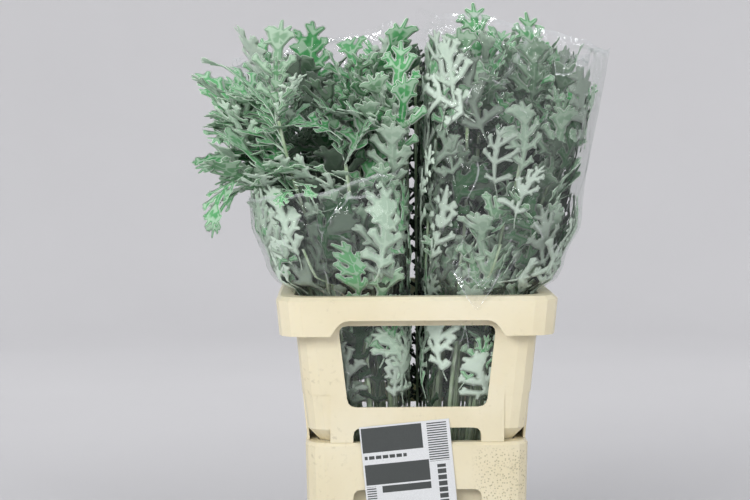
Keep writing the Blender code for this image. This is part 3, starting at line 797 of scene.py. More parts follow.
class Blade:
    """A flat lobed leaf: points, triangles, and how deep inside and how near a rib each point is."""

    def __init__(self, chance, cut, coarse=False):
        self.strokes = self.draw_strokes(chance, cut)
        step = 1 / 150
        xs = np.arange(-0.04, 1.10, step)
        ys = np.arange(-0.42, 0.42 + step, step)
        grid = self.distance(*np.meshgrid(xs, ys, indexing="ij"))
        loops = [loop for loop in trace_loops(grid, xs, ys) if len(loop) > 24]
        keep = 0.0055 if coarse else 0.0028
        points, edges = [], []
        for loop in loops:
            loop = thin_loop(loop, keep)
            start = len(points)
            points += loop
            edges += [(start + i, start + (i + 1) % len(loop)) for i in range(len(loop))]
        margin = len(points)
        spacing = 0.07 if coarse else 0.042
        inner = self.rib_points(spacing)
        taken = []
        for spot in inner + self.field_points(0.05 if coarse else 0.034):
            if all((spot[0] - t[0]) ** 2 + (spot[1] - t[1]) ** 2 > (0.45 * spacing) ** 2 for t in taken):
                taken.append(spot)
        depth = self.distance(np.array([t[0] for t in taken]), np.array([t[1] for t in taken]))
        points += [spot for spot, deep in zip(taken, depth) if deep < -0.007]
        verts, _, faces, *_ = delaunay_2d_cdt([Vector(p) for p in points], edges, [], 0, 1e-6)
        flat = np.array([tuple(v) for v in verts])
        faces = np.array([f for f in faces if len(f) == 3])
        middle = flat[faces].mean(axis=1)
        faces = faces[self.distance(middle[:, 0], middle[:, 1]) < 0.0]
        used = np.unique(faces)
        order = np.full(len(flat), -1)
        order[used] = np.arange(len(used))
        self.flat, self.faces = flat[used], order[faces]
        sides = self.flat[self.faces]
        turned = np.cross(sides[:, 1] - sides[:, 0], sides[:, 2] - sides[:, 0]) < 0
        self.faces[turned] = self.faces[turned][:, ::-1]
        self.on_margin = self.find_margin()
        depth = -self.distance(self.flat[:, 0], self.flat[:, 1])
        self.inside = np.where(self.on_margin, 0.0, np.clip(depth / MARGIN_DEPTH, 0.2, 1.0))
        self.rib = np.clip(1 - self.rib_distance(self.flat[:, 0], self.flat[:, 1]) / 0.014, 0, 1)
        self.rib[self.on_margin] = 0

    def find_margin(self):
        """The points of edges that only one triangle has."""
        count = {}
        for a, b, c in self.faces:
            for pair in ((a, b), (b, c), (c, a)):
                key = (min(pair), max(pair))
                count[key] = count.get(key, 0) + 1
        flags = np.zeros(len(self.flat), bool)
        for pair, times in count.items():
            if times == 1:
                flags[list(pair)] = True
        return flags

    @staticmethod
    def draw_strokes(chance, cut):
        """Tapered strokes, as (x, y, radius) at both ends: stalk and midrib, side lobes with their teeth, and
        the end lobe. A higher cut gives narrower lobes."""
        broad = 2.0 - cut
        midrib = ((0.36, 0.024 * broad), (0.64, 0.037 * broad), (0.87, 0.032 * broad))
        stalk = ((0.0, 0.008), (0.17, 0.010), *midrib)
        strokes = [(a, 0.0, wide, b, 0.0, next_wide) for (a, wide), (b, next_wide) in zip(stalk, stalk[1:])]
        pairs = chance.choice((3, 4, 4))
        reach = {3: (0.17, 0.26, 0.21), 4: (0.13, 0.22, 0.25, 0.17)}[pairs]
        for i in range(pairs):
            for side in (-1, 1):
                angle = math.radians(66 - 22 * i / (pairs - 1) + chance.uniform(-9, 9))
                long = reach[i] * chance.uniform(0.72, 1.14)
                x, y = 0.22 + 0.48 * i / (pairs - 1) + chance.uniform(-0.045, 0.045), 0.0
                wide = 0.026 * broad
                for half in (0, 1):
                    angle -= math.radians(chance.uniform(-4, 30)) * half
                    next_x, next_y = x + math.cos(angle) * long / 2, y + side * math.sin(angle) * long / 2
                    next_wide = (0.023, 0.026)[half] * broad
                    strokes.append((x, y, wide, next_x, next_y, next_wide))
                    x, y, wide = next_x, next_y, next_wide
                    if half == 0 and long > 0.18:
                        out = angle + chance.choice((-1, 1)) * math.radians(chance.uniform(46, 66))
                        tooth = chance.uniform(0.052, 0.080)
                        end = (x + math.cos(out) * tooth, y + side * math.sin(out) * tooth)
                        strokes.append((x, y, 0.020 * broad, *end, 0.014 * broad))
                for lean in (-1, 0, 1) if long > 0.14 else (-1, 1):
                    out = angle + lean * math.radians(chance.uniform(34, 62))
                    tooth = chance.uniform(0.034, 0.056)
                    end = (x + math.cos(out) * tooth, y + side * math.sin(out) * tooth)
                    strokes.append((x, y, 0.022 * broad, *end, 0.0135 * broad))
        for degrees, long in ((-46, 0.112), (0, 0.122), (46, 0.112)):
            out = math.radians(degrees + chance.uniform(-9, 9))
            long *= chance.uniform(0.85, 1.1)
            end = (0.87 + math.cos(out) * long, math.sin(out) * long)
            strokes.append((0.87, 0.0, 0.024 * broad, *end, 0.0155 * broad))
        return np.array(strokes)

    def along_strokes(self, x, y):
        """Share along each stroke, and distance from its line, for arrays of points."""
        x0, y0, r0, x1, y1, r1 = (self.strokes[:, i].reshape(-1, *([1] * np.ndim(x))) for i in range(6))
        dx, dy = x1 - x0, y1 - y0
        share = np.clip(((x - x0) * dx + (y - y0) * dy) / (dx * dx + dy * dy), 0, 1)
        away = np.hypot(x - x0 - share * dx, y - y0 - share * dy)
        return away, r0 + (r1 - r0) * share

    def distance(self, x, y):
        away, radius = self.along_strokes(x, y)
        soft = 0.0045
        return -soft * np.log(np.exp(-np.clip(away - radius, -0.2, 0.5) / soft).sum(axis=0))

    def rib_distance(self, x, y):
        return self.along_strokes(x, y)[0].min(axis=0)

    def rib_points(self, spacing):
        spots = []
        for x0, y0, _, x1, y1, _ in self.strokes:
            steps = max(1, round(math.hypot(x1 - x0, y1 - y0) / spacing))
            spots += [(x0 + (x1 - x0) * i / steps, y0 + (y1 - y0) * i / steps) for i in range(steps + 1)]
        return spots

    def field_points(self, spacing):
        """Points in the broad parts of the blade, on a staggered grid."""
        spots = []
        for row, x in enumerate(np.arange(0.1, 1.0, spacing)):
            for y in np.arange(-0.4, 0.4, spacing):
                spots.append((x, y + (row % 2) * spacing / 2))
        x, y = np.array(spots).T
        deep = self.distance(x, y) < -0.02
        return [spot for spot, ok in zip(spots, deep) if ok]


def trace_loops(grid, xs, ys):
    """Closed loops of points where a grid of values crosses zero."""
    ends = {}

    def crossing(i, j, k, m):
        a, b = grid[i, j], grid[k, m]
        share = a / (a - b)
        return (xs[i] + (xs[k] - xs[i]) * share, ys[j] + (ys[m] - ys[j]) * share)

    inside = grid < 0
    busy = inside[:-1, :-1].astype(int) + inside[1:, :-1] + inside[:-1, 1:] + inside[1:, 1:]
    for i, j in zip(*np.nonzero((busy > 0) & (busy < 4))):
        corners = ((i, j), (i + 1, j), (i + 1, j + 1), (i, j + 1))
        hits = []
        for a, b in zip(corners, corners[1:] + corners[:1]):
            if inside[a] != inside[b]:
                hits.append((min(a, b), max(a, b)))
        for a, b in zip(hits[::2], hits[1::2]):
            ends.setdefault(a, []).append(b)
            ends.setdefault(b, []).append(a)
    loops, seen = [], set()
    for start in ends:
        if start in seen:
            continue
        loop, here = [], start
        while here is not None and here not in seen:
            seen.add(here)
            loop.append(crossing(*here[0], *here[1]))
            here = next((other for other in ends[here] if other not in seen), None)
        loops.append(loop)
    return loops


def thin_loop(loop, keep):
    """The loop's points that matter: none that it leaves out is further than keep from it."""
    points = np.array(loop)
    far = int(np.argmax(np.hypot(*(points - points[0]).T)))
    kept = set()
    spans = [(0, far), (far, len(points))]
    ring = np.vstack([points, points[:1]])
    while spans:
        a, b = spans.pop()
        kept.add(a)
        if b - a < 2:
            continue
        line = ring[b] - ring[a]
        size = np.hypot(*line)
        rest = ring[a + 1 : b] - ring[a]
        off = np.hypot(*rest.T)
        if size > 1e-9:
            off = np.abs(rest[:, 0] * line[1] - rest[:, 1] * line[0]) / size
        worst = int(np.argmax(off))
        if off[worst] > keep or size > 0.075:
            middle = a + 1 + (worst if off[worst] > keep else (b - a) // 2 - 1)
            spans += [(a, middle), (middle, b)]
    return [tuple(points[i]) for i in sorted(kept)]


# Fine leaves from the flat blades


class Foliage:
    """Gathers the leaves of one bunch as arrays, for one mesh."""

    def __init__(self):
        self.points, self.faces, self.blade, self.growth, self.count = [], [], [], [], 0

    def add(self, flat_blade, points, up_sign, tint):
        """Adds a closed blade: a layer on each side of the points, which meet at the margin."""
        faces = flat_blade.faces
        corners = points[faces]
        normals = np.cross(corners[:, 1] - corners[:, 0], corners[:, 2] - corners[:, 0])
        at_points = np.zeros_like(points)
        for i in range(3):
            np.add.at(at_points, faces[:, i], normals)
        at_points /= np.linalg.norm(at_points, axis=1, keepdims=True) + 1e-12
        swell = BLADE / 2 * np.where(flat_blade.on_margin, 0.0, 1.0)[:, None]
        rib = RIB_RISE * flat_blade.rib[:, None]
        first = points + at_points * swell
        second = points - at_points * (swell + rib * (1 - flat_blade.on_margin[:, None]))
        if up_sign < 0:
            first, second = points + at_points * (swell + rib), points - at_points * swell
            first[flat_blade.on_margin] = points[flat_blade.on_margin]
        n = len(points)
        inner = np.nonzero(~flat_blade.on_margin)[0]
        lower = np.arange(n)
        lower[inner] = n + np.arange(len(inner))
        both = np.vstack([first, second[inner]])
        self.points.append(both)
        self.faces.append(np.vstack([faces, lower[faces][:, ::-1]]) + self.count)
        side_first, side_second = (0.0, 1.0) if up_sign > 0 else (1.0, 0.0)
        upper_sides = np.where(flat_blade.on_margin, 0.5, side_first)
        sides = np.concatenate([upper_sides, np.full(len(inner), side_second)])
        inside = np.concatenate([flat_blade.inside, flat_blade.inside[inner]])
        ribs = np.concatenate([flat_blade.rib, flat_blade.rib[inner]])
        self.blade.append(np.column_stack([inside, ribs, sides, np.ones(len(both))]))
        # The tint holds random brightness, greenness and painted shade
        self.growth.append(np.tile((*tint, 1.0), (len(both), 1)))
        self.count += len(both)

    def build(self, name, material):
        colours = {"blade": np.vstack(self.blade), "growth": np.vstack(self.growth)}
        return mesh_from(name, np.vstack(self.points), np.vstack(self.faces), material, attributes=colours)


def waves(u, v, chance, height):
    """Gentle ruffles of a blade, stronger towards the tips of its lobes."""
    total = np.zeros_like(u)
    for _ in range(4):
        total += math.sin(chance.uniform(0.6, 1.4)) * np.sin(
            chance.uniform(6, 17) * u + chance.uniform(-14, 14) * v + chance.uniform(0, math.tau)
        )
    return height * total * (0.2 + 3.5 * np.abs(v) + 0.5 * u * u)


def bent_blade(flat_blade, leaf, chance):
    """The points of a flat blade, laid along a leaf's own bend, cup and ruffles."""
    u = flat_blade.flat[:, 0].copy()
    v = flat_blade.flat[:, 1] + chance.uniform(-0.14, 0.14) * u * u
    curl = leaf.bend / leaf.length
    run = u * leaf.bend
    along, face, across = (np.array(axis) for axis in (leaf.along, leaf.face, leaf.across))
    sine, cosine = np.sin(run)[:, None], np.cos(run)[:, None]
    middle = np.array(leaf.root) + (along * sine - face * (1 - cosine)) / curl
    normal = face * cosine + along * sine
    side = (v * leaf.length)[:, None]
    lift = leaf.cup * side * side / leaf.half_width
    ruffle = waves(u, v, chance, 0.0085 * leaf.length)[:, None]
    twist = chance.uniform(-0.5, 0.5)
    turned = across * np.cos(twist * u)[:, None] + normal * np.sin(twist * u)[:, None]
    return middle + turned * side + normal * (lift + ruffle)


# Film


def squared(wave):
    """A sine or cosine, bent to go round the sleeve's squared section."""
    return np.sign(wave) * np.abs(wave) ** (2 / SLEEVE_SQUARENESS)


class Film:
    """A bunch's sleeve as a smooth surface with folds: points from an angle round it and a height."""

    def __init__(self, bunch, chance):
        self.bunch = bunch
        self.folds = []
        for _ in range(FOLDS):
            height = chance.uniform(0.36, bunch.sleeve_top)
            lean = chance.gauss(0, 0.35)
            self.folds.append(
                (
                    chance.uniform(0, math.tau),
                    height,
                    lean,
                    chance.uniform(0.03, 0.12),
                    chance.uniform(3.0, 9.0) * MM,
                    chance.choice((-1, 1)) * chance.uniform(0.8, 2.4) * MM,
                )
            )

    def plain(self, angle, height, inset=0.0):
        rows = np.array(SLEEVE_PROFILE)
        near_x, far_x, near_y, far_y = (np.interp(height, rows[:, 0], rows[:, i]) for i in range(1, 5))
        centre_x = self.bunch.side_x * (near_x + far_x) / 2
        centre_y = self.bunch.side_y * (near_y + far_y) / 2
        return np.stack(
            [
                centre_x + ((far_x - near_x) / 2 - inset) * squared(np.cos(angle)),
                centre_y + ((far_y - near_y) / 2 - inset) * squared(np.sin(angle)),
                height + 0 * angle,
            ],
            axis=-1,
        )

    def crease(self, angle, height):
        """How far the folds push the film out, and how sharp they are there."""
        push, sharp = np.zeros(np.shape(angle)), np.zeros(np.shape(angle))
        for at, level, lean, long, wide, high in self.folds:
            around = (angle - at + math.pi) % math.tau - math.pi
            across = around * 0.1 - lean * (height - level)
            along = (height - level) / long
            near = np.clip(1 - np.abs(across) / wide, 0, 1) * np.clip(1 - along * along, 0, 1)
            push += high * near
            sharp = np.maximum(sharp, np.clip(3 * near - 2, 0, 1))
        loose = np.clip((height - 0.366) / 0.03, 0, 1)
        return push * loose, sharp * loose

    def belly(self, angle, height):
        """How far the loose film hangs out over the rim, on the two outer sides only."""
        outer = np.clip(self.bunch.side_x * squared(np.cos(angle)), 0, 1)
        front = np.clip(self.bunch.side_y * squared(np.sin(angle)), 0, 1)
        low = RIM_BULGE * np.exp(-(((height - RIM_BULGE_Z) / 0.020) ** 2))
        high = SHOULDER_BULGE * np.exp(-(((height - SHOULDER_BULGE_Z) / 0.036) ** 2))
        ear = EAR * np.exp(-(((height - EAR_Z) / 0.006) ** 2)) * outer * front
        return (low + high) * np.maximum(outer**2, 0.5 * front**2) + ear

    def surface(self, angle, height, inset=0.0):
        push, _ = self.crease(angle, height)
        return self.plain(angle, height, inset - push - self.belly(angle, height))


def film_sleeve(film, material, chance):
    """The sleeve as one creased sheet with an uneven lip."""
    bunch = film.bunch
    angles = math.tau * np.arange(FILM_AROUND) / FILM_AROUND
    outer = bunch.side_x * squared(np.cos(angles))
    phases = [chance.uniform(0, math.tau) for _ in range(5)]
    ragged = sum(np.sin((3 + 4 * i) * angles + phase) / (1 + i) for i, phase in enumerate(phases))
    short_rise = SHORT_LIP_RISE * (1 - outer) / 2 if bunch.lip == 0 else 0
    top = bunch.sleeve_top - bunch.lip * (1 + outer) / 2 + short_rise + RAGGED_LIP * (ragged - 1.2)
    share = np.linspace(0, 1, FILM_UP)[:, None]
    foot = SLEEVE_PROFILE[0][0]
    heights = foot + (top[None, :] - foot) * share
    grid_angles = np.broadcast_to(angles, heights.shape)
    points = film.surface(grid_angles, heights, FILM / 2).reshape(-1, 3)
    _, sharp = film.crease(grid_angles, heights)
    sharp = np.maximum(sharp, (share > 0.985) * 0.8)
    along = bunch.side_y * squared(np.sin(angles))
    inner = np.clip((-np.minimum(outer, along) - 0.6) / 0.3, 0, 1)
    hidden = np.broadcast_to(inner, heights.shape)
    colours = np.stack([sharp, hidden, 0 * sharp, 1 + 0 * sharp], axis=-1).reshape(-1, 4)
    faces = tube_faces(FILM_UP, FILM_AROUND)
    return mesh_from("film_" + bunch.name, points, faces, material, attributes={"fold": colours})


def rim_fold(material):
    """The corner of the right front sleeve that hangs over the collar's front rim and ends in a point."""
    across, down = 18, 26
    tip = Vector(FOLD_TIP)
    points, sharp = [], []
    for row in range(down):
        fall = row / (down - 1)
        low, high = 40 * MM + (tip.x - 41 * MM) * fall**1.2, 95 * MM - (94 * MM - tip.x) * fall**1.2
        over = math.sin(math.pi * min(fall * 1.6, 1)) * 4 * MM
        y = -129 * MM - 12 * MM * min(fall * 2.2, 1) ** 0.7
        z = FOLD_TOP_Z + (tip.z - FOLD_TOP_Z) * fall
        for column in range(across):
            share = column / (across - 1)
            pleat = 1.6 * MM * math.sin(share * 11 + fall * 3) * (1 - 0.6 * fall)
            out = over * math.sin(math.pi * share) * 0.5 + abs(pleat)
            points.append((low + (high - low) * share, y - out, z))
            sharp.append(max(abs(2 * share - 1) ** 6, 0.35 * abs(math.cos(share * 11 + fall * 3)) ** 8))
    faces = []
    for row in range(down - 1):
        for column in range(across - 1):
            a = row * across + column
            faces.append((a, a + across, a + across + 1, a + 1))
    folds = {"fold": [(level, 0.0, 0.0, 1.0) for level in sharp]}
    return mesh_from("film_fold_front", points, faces, material, attributes=folds)


def pressed_blade(film, flat_blade, at, height, turn, length, inset, chance):
    """The points of a leaf that lies flat against the inside of the film."""
    u = flat_blade.flat[:, 0]
    v = flat_blade.flat[:, 1] * chance.choice((-1, 1))
    bend = chance.uniform(-0.5, 0.5)
    p = (u - 0.5) * math.cos(turn) - (v + bend * (u - 0.5) ** 2) * math.sin(turn)
    q = (u - 0.5) * math.sin(turn) + (v + bend * (u - 0.5) ** 2) * math.cos(turn)
    heights = height + q * length
    reference = film.plain(np.array([at - 0.01, at + 0.01]), np.array([height, height]))
    speed = np.linalg.norm(reference[1] - reference[0]) / 0.02
    angles = at + p * length / speed
    uneven = 1.6 * MM * (1 + np.sin(9 * u + chance.uniform(0, 6)) * np.cos(11 * v + chance.uniform(0, 6)))
    return film.plain(angles, heights, inset + uneven - 0.95 * film.belly(angles, heights))


def grow_foliage(bunch, film, blades, young_blades, films, placed, felt):
    """All the leaves of one bunch as one piece."""
    chance = random.Random(bunch.seed + 500)
    foliage = Foliage()
    solid_leaves = grow_leaves(bunch, films, placed)
    fillers = SHORT_SLEEVE_FILLERS if bunch.lip == 0 else FILLERS
    others = fill_leaves(bunch, films, fillers, chance) + young_leaves(bunch, films, chance)
    stand_out(bunch, blades, foliage, chance)
    for leaf in solid_leaves + others:
        flat_blade = chance.choice(young_blades if leaf.length < YOUNG_LENGTH else blades)
        points = bent_blade(flat_blade, leaf, chance)
        # Painted shade: leaves low in the bunch and near its middle get a darkening share, deep
        centre, half = sleeve_at(bunch, leaf.root.z)
        tip = leaf.point(0.6, 0)
        out = max(abs(tip.x - centre[0]) / half[0], abs(tip.y - centre[1]) / half[1])
        below_top = min(max((bunch.leaf_top - 40 * MM - tip.z) / (110 * MM), 0), 1)
        deep = 0.95 * below_top * min(max((0.85 - out) / 0.45, 0), 1)
        tint = (chance.random(), chance.uniform(0.25, 1.0), deep)
        reach = np.abs(points).max(axis=0)
        if reach[0] < bunch.reach and reach[1] < FRONT_REACH:
            foliage.add(flat_blade, points, -1, tint)
    if bunch.side_y > 0:
        close_gap(bunch, young_blades, foliage, chance)
    press_leaves(bunch, film, blades, young_blades, foliage, chance)
    return foliage.build("leaves_" + bunch.name, felt)


def stand_out(bunch, blades, foliage, chance):
    """The leaves that stand out of a bunch, each made smaller until it keeps within the bunch's reach."""
    for name, height, target, length, bend, roll, green in STANDING_OUT:
        if name != bunch.name:
            continue
        spot = [side * MM for side in target]
        flat_blade = chance.choice(blades)
        for share in (1.0, 0.88, 0.76, 0.64, 0.52):
            size = length * share * MM
            leaf = aimed_leaf(bunch, height * MM, spot, size, math.radians(bend), math.radians(roll))
            points = bent_blade(flat_blade, leaf, chance)
            reach = np.abs(points).max(axis=0)
            if reach[0] < bunch.reach and reach[1] < FRONT_REACH and reach[2] < bunch.leaf_top + TIP_RISE:
                foliage.add(flat_blade, points, -1, (0.7, green, 0.0))
                break


def beside_gap(bunch, number, height):
    """Where a slim stalk beside the middle gap stands at a height, inside its sleeve."""
    x, share = GAP_STALKS[number % len(GAP_STALKS)]
    centre, half = sleeve_at(bunch, height)
    return Vector((bunch.side_x * x, centre[1] + (2 * share - 1) * bunch.side_y * half[1], height))


def close_gap(bunch, young_blades, foliage, chance):
    """Upright leaves on a back bunch's slim stalks, which face the front behind the middle gap, coloured dark
    as painted shade.
    """
    for number in range(GAP_LEAVES):
        root = beside_gap(bunch, number, 208 * MM + (GAP_STALK_TOP - 248 * MM) * number / (GAP_LEAVES - 1))
        root.x = bunch.side_x * max(abs(root.x), 8 * MM)
        leaf = Leaf(
            root,
            math.pi / 2,
            math.radians(chance.uniform(78, 87)),
            math.radians(chance.uniform(-15, 15)),
            math.radians(chance.uniform(8, 30)),
            0.15,
            chance.uniform(56, 64) * MM,
        )
        flat_blade = chance.choice(young_blades)
        # Painted shade: these leaves are darkened almost fully
        foliage.add(flat_blade, bent_blade(flat_blade, leaf, chance), 1, (chance.random(), 0.6, 0.93))


def press_leaves(bunch, film, blades, young_blades, foliage, chance):
    """Leaves that lie flat against the film: in the collar, above it, on the side that faces the next bunch,
    and in the belly of the loose film."""
    top = min(bunch.sleeve_top - bunch.lip, PRESSED_TOP_Z)
    inner_side = math.pi if bunch.side_x > 0 else 0.0
    places = ["low"] * PRESSED_LOW + ["high"] * PRESSED_HIGH
    places += ["inner"] * PRESSED_INNER + ["outer"] * PRESSED_OUTER
    for number, place in enumerate(places):
        at = number * GOLDEN_ANGLE + chance.uniform(-0.25, 0.25)
        length = chance.uniform(64, 96) * MM if place == "low" else chance.uniform(76, 118) * MM
        height = chance.uniform(0.375, top - 0.03)
        inset = chance.uniform(3.2, 16.0) * MM
        # Painted shade: the further a leaf lies inside the film, the darker its colour
        deep = 0.85 * min(max((inset / MM - 5) / 8, 0), 1)
        if place == "low":
            height = chance.uniform(0.204 + length / 2, 0.352)
            inset = chance.uniform(2.4, 9.0) * MM
            # Painted shade for the leaves behind the collar's windows
            deep = 0.95 * min(max((inset / MM - 3.6) / 3.2, 0), 1)
        elif place == "inner":
            at = inner_side + chance.uniform(-0.75, 0.75)
            height = chance.uniform(0.26, top - 0.03)
        elif place == "outer":
            at = inner_side + math.pi + chance.uniform(-0.62, 0.62)
            height = chance.uniform(0.388, 0.45)
            inset, deep = chance.uniform(2.6, 5.0) * MM, 0.2
        turn = math.radians(90 + chance.gauss(0, 34))
        flat_blade = chance.choice(young_blades if place in ("inner", "outer") else blades)
        points = pressed_blade(film, flat_blade, at, height, turn, length, inset, chance)
        if points[:, 2].max() > top + 0.03 or points[:, 2].min() < 0.2:
            continue
        sign = 1 if chance.random() < 0.75 else -1
        tint = (chance.random(), chance.uniform(0.0, 0.6) ** 1.5, deep)
        foliage.add(flat_blade, points, sign * outward_sign(flat_blade, points, film), tint)


def outward_sign(flat_blade, points, film):
    """Which of a pressed blade's layers faces in, so that its pale underside faces out."""
    a, b, c = points[flat_blade.faces[0]]
    normal = np.cross(b - a, c - a)
    centre, _ = sleeve_at(film.bunch, float(a[2]))
    out = a - np.array((*centre, a[2]))
    return -1 if float(normal @ out) > 0 else 1


def add_tube(points, faces, middles, radii):
    """Adds a round closed tube through its middles."""
    start = len(points)
    for middle, radius in zip(middles, radii):
        points += level_ring(middle, radius, STEM_ROUND)
    faces += [tuple(start + i for i in face) for face in tube_faces(len(middles), STEM_ROUND, closed=True)]


def smooth_stem_point(bunch, index, z, top):
    """A stem's middle at a height, rounded through its knots."""
    reach = 22 * MM
    low, here, high = (
        stem_point(bunch, index, min(max(z + shift, STEM_FOOT_Z), top)) for shift in (-reach, 0, reach)
    )
    middle = (low + 2 * here + high) / 4
    middle.z = z
    return middle


def fine_stems(bunch, material):
    """The stems, round and smooth through their knots, and slim side stalks between them."""
    shares = [step / (STEM_STEPS - 1) for step in range(STEM_STEPS)]
    points, faces = [], []
    for index in range(STEMS):
        phase = random.Random(bunch.seed * 100 + index).uniform(0, math.tau)
        top = stem_top(bunch, index)
        heights = [STEM_FOOT_Z + (top - STEM_FOOT_Z) * share for share in shares]
        middles = []
        for z in heights:
            free = STEM_SWAY * min(max((z - BUCKET_HEIGHT - 10 * MM) / (100 * MM), 0), 1)
            sway = Vector((math.sin(z * 40 + phase), math.cos(z * 33 + phase), 0)) * free
            middles.append(smooth_stem_point(bunch, index, z, top) + sway)
        add_tube(points, faces, middles, [stem_radius(bunch, z) for z in heights])
    chance = random.Random(bunch.seed + 700)
    for number in range(STALKS + (len(GAP_STALKS) if bunch.side_y > 0 else 0)):
        angle, far = number * GOLDEN_ANGLE, chance.uniform(0.55, 1.15)
        spot = (far * math.cos(angle), far * math.sin(angle))
        top = chance.uniform(0.37, 0.46) if number < STALKS else GAP_STALK_TOP
        middles = []
        for share in shares:
            z = BAND_Z + (top - BAND_Z) * share
            upper = knot_at(bunch, spot, max(z, BUCKET_HEIGHT))
            if number >= STALKS:
                upper = beside_gap(bunch, number - STALKS, max(z, BUCKET_HEIGHT))
            out = min((z - BAND_Z) / (BUCKET_HEIGHT - BAND_Z), 1)
            middle = knot_at(bunch, spot, BAND_Z).lerp(upper, out)
            middle.z = z
            middles.append(middle)
        add_tube(points, faces, middles, [STALK_RADIUS] * STEM_STEPS)
    return mesh_from("stems_" + bunch.name, points, faces, material)


# The label, water, band, stage, light and camera


LABEL_SIZE = (105 * MM, 160 * MM)
LABEL_MIDDLE = Vector((-8 * MM, -106.2 * MM, 134 * MM))
LABEL_LEAN = math.radians(-5.4)
CARD = 0.5 * MM


def printed_cell(u, v):
    """Whether a spot of the label, in millimetres from its top left corner, is printed dark."""
    if 1.5 < u < 72 and 2 < v < 31:
        return True
    if 78 < u < 101 and 2 < v < 48:
        return (v // 1.4) % 2 == 0
    if 3 < u < 52 and 35 < v < 39:
        return (u // 1.6) % 5 != 4
    if 2 < u < 77 and 45 < v < 69:
        return True
    if 2 < u < 13 and 71 < v < 96:
        return (v // 1.4) % 2 == 0
    if 20 < u < 77 and 71 < v < 79:
        return True
    return 86 < u < 96 and 52 < v < 104 and (v // 1.8) % 4 != 3


def label_card(paper, ink):
    """A thin paper card, printed with plain dark blocks and even stripes."""
    us = sorted({0, 105, 1.5, 72, 78, 101, 3, 52, 2, 77, 13, 20, 86, 96, *[1.6 * i for i in range(2, 33)]})
    vs = sorted(
        {0, 160, 2, 31, 48, 35, 39, 45, 69, 71, 96, 79, 52, 104}
        | {round(1.4 * i, 3) for i in range(2, 69)}
        | {round(1.8 * i, 3) for i in range(29, 58)}
    )
    width, height = LABEL_SIZE
    turn = Matrix.Rotation(LABEL_LEAN, 3, "Y")
    points, faces, prints = [], [], []
    for layer in (0, 1):
        for v in vs:
            for u in us:
                curl = 1.2 * MM * math.sin(math.pi * u / 105) * math.sin(math.pi * v / 220)
                spot = Vector((u * MM - width / 2, (layer - 0.5) * CARD - curl, height / 2 - v * MM))
                points.append(LABEL_MIDDLE + turn @ spot)
    cols, rows = len(us), len(vs)
    layer_size = cols * rows
    for j in range(rows - 1):
        for i in range(cols - 1):
            a, b, c, d = j * cols + i, j * cols + i + 1, (j + 1) * cols + i + 1, (j + 1) * cols + i
            faces.append((d, c, b, a))
            prints.append(printed_cell((us[i] + us[i + 1]) / 2, (vs[j] + vs[j + 1]) / 2))
            faces.append(tuple(layer_size + k for k in (a, b, c, d)))
            prints.append(False)
    border = (
        list(range(cols))
        + [j * cols + cols - 1 for j in range(1, rows)]
        + [(rows - 1) * cols + i for i in range(cols - 2, -1, -1)]
        + [j * cols for j in range(rows - 2, 0, -1)]
    )
    for a, b in zip(border, border[1:] + border[:1]):
        faces.append((a, b, layer_size + b, layer_size + a))
        prints.append(False)
    card = mesh_from("label_card", points, faces, paper, smooth=False)
    card.data.materials.append(ink)
    for polygon, printed in zip(card.data.polygons, prints):
        polygon.material_index = 1 if printed else 0
    return card


def dress_node(node, material, width):
    """Gives a solid its finish and soft moulded edges."""
    node.data.materials.clear()
    node.data.materials.append(material)
    node.data.shade_smooth()
    rounding = node.modifiers.new("moulded_edges", "BEVEL")
    rounding.width = width
    rounding.segments = 2
    rounding.limit_method = "ANGLE"
    rounding.angle_limit = math.radians(34)
    rounding.harden_normals = False
    smooth = node.modifiers.new("face_shading", "WEIGHTED_NORMAL")
    smooth.keep_sharp = False
    smooth.weight = 60


def backdrop(paper):
    """A round studio: a pale floor that curves up into a wall on every side."""
    profile = [(0.0, 0.0), (FLOOR_RADIUS, 0.0)]
    for step in range(1, 17):
        angle = math.radians(90) * step / 16
        out, up = WALL_CURVE * math.sin(angle), WALL_CURVE * (1 - math.cos(angle))
        profile.append((FLOOR_RADIUS + out, up))
    profile.append((FLOOR_RADIUS + WALL_CURVE, WALL_HEIGHT))
    mesh = bpy.data.meshes.new("studio_paper")
    mesh.from_pydata([(x, 0, z) for x, z in profile], [(i, i + 1) for i in range(len(profile) - 1)], [])
    mesh.materials.append(paper)
    studio = bpy.data.objects.new("studio_paper", mesh)
    bpy.context.scene.collection.objects.link(studio)
    turned = studio.modifiers.new("turned", "SCREW")
    turned.steps = turned.render_steps = 96
    turned.use_merge_vertices = True
    turned.merge_threshold = 0.0001
    turned.use_normal_flip = True
    turned.use_smooth_shade = True


def area_light(name, at, aim, size, power):
    lamp = bpy.data.lights.new(name, "AREA")
    lamp.shape = "RECTANGLE"
    lamp.size, lamp.size_y = size
    lamp.energy = power
    made = bpy.data.objects.new(name, lamp)
    made.location = at
    made.rotation_euler = (Vector(aim) - Vector(at)).to_track_quat("-Z", "Y").to_euler()
    bpy.context.scene.collection.objects.link(made)


def light_studio():
    world = bpy.data.worlds.new("studio_air")
    world.use_nodes = True
    world.node_tree.nodes["Background"].inputs["Color"].default_value = linear("#E9ECF2")
    world.node_tree.nodes["Background"].inputs["Strength"].default_value = 0.80
    bpy.context.scene.world = world
    bpy.context.scene.view_settings.view_transform = "Standard"
    area_light("key_softbox", (-1.3, -2.1, 1.5), (0, 0, 0.42), (1.1, 0.9), 30)
    area_light("strip_light", (-0.5, -2.4, 1.25), (0, 0, 0.42), (0.12, 0.5), 4)
    area_light("fill_softbox", (1.8, -1.7, 1.1), (0, 0, 0.4), (1.1, 1.1), 9)
    area_light("top_softbox", (0.1, 0.3, 2.5), (0, 0, 0.4), (1.3, 1.3), 6)
    for number in range(4):
        turn = math.tau * (number + 0.5) / 4
        wall = (4.2 * math.cos(turn), 4.2 * math.sin(turn), 1.3)
        area_light(f"wall_softbox_{number}", (wall[0] * 0.25, wall[1] * 0.25, 2.5), wall, (1.0, 1.0), 44)


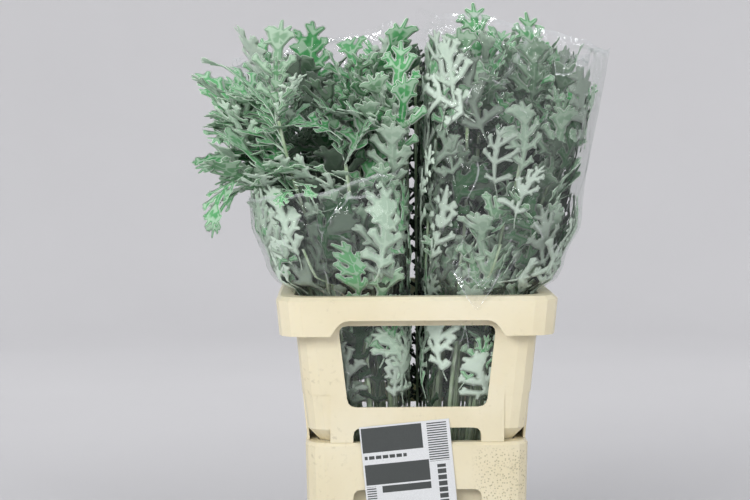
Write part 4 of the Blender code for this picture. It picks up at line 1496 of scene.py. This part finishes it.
def photo_camera():
    lens = bpy.data.cameras.new("photo_camera")
    lens.lens = CAMERA_LENS
    lens.sensor_width = 36
    lens.clip_end = 30
    camera = bpy.data.objects.new("photo_camera", lens)
    turn = Matrix.Rotation(CAMERA_TURN, 4, "Z") @ Matrix.Rotation(math.radians(90) - CAMERA_DROP, 4, "X")
    camera.matrix_world = Matrix.Translation(CAMERA_AT) @ turn @ Matrix.Rotation(CAMERA_ROLL, 4, "Z")
    bpy.context.scene.collection.objects.link(camera)
    bpy.context.scene.camera = camera


def main():
    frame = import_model()
    nodes = frame["nodes"]

    cream = cream_polypropylene()
    felt, stem_wool, film_look = felted_leaf(), felted_stem(), clear_film()
    paper = plain_finish("printed_paper", "#E6E8E9", 0.62, 0.8, 0.02)
    ink = plain_finish("matt_black_ink", "#474B4A", 0.5, 0.9, 0.02)
    rubber = plain_finish("tan_rubber", "#A8743F", 0.55, 1.4, 0.1)
    water = plain_finish("still_water", "#8E9C92", 0.06, 18.0, 0.4, Transmission_Weight=0.6, IOR=1.33)
    studio_paper = plain_finish(
        "matte_seamless_paper", "#C6C5C6", 0.95, 900.0, 0.0, 0.03, Specular_IOR_Level=0.1
    )

    for name, width in (("bucket", 0.9 * MM), ("collar", 0.8 * MM)):
        dress_node(nodes[name], cream, width)
    dress_node(nodes["water"], water, 0.3 * MM)
    for bunch in BUNCHES:
        dress_node(nodes["band_" + bunch.name], rubber, 0.3 * MM)

    chance = random.Random(7)
    blades = [Blade(random.Random(100 + i), chance.uniform(0.1, 1.0)) for i in range(LEAF_SHAPES)]
    young_blades = [Blade(random.Random(200 + i), 0.6, coarse=True) for i in range(YOUNG_SHAPES)]
    films = [tree for bunch in BUNCHES for tree in film_trees(bunch)]
    placed = []
    for bunch in BUNCHES:
        sleeve_chance = random.Random(bunch.seed + 900)
        film = Film(bunch, sleeve_chance)
        leaves = grow_foliage(bunch, film, blades, young_blades, films, placed, felt)
        stems = fine_stems(bunch, stem_wool)
        sleeve = film_sleeve(film, film_look, sleeve_chance)
        ride_on_root(leaves)
        ride_on_root(stems)
        ride_on_root(sleeve)
        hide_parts("bunch_" + bunch.name)
        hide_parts("sleeve_" + bunch.name)

    ride_on_root(rim_fold(film_look))
    card = ride_on_root(label_card(paper, ink))
    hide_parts("label")

    backdrop(studio_paper)
    light_studio()
    photo_camera()


main()
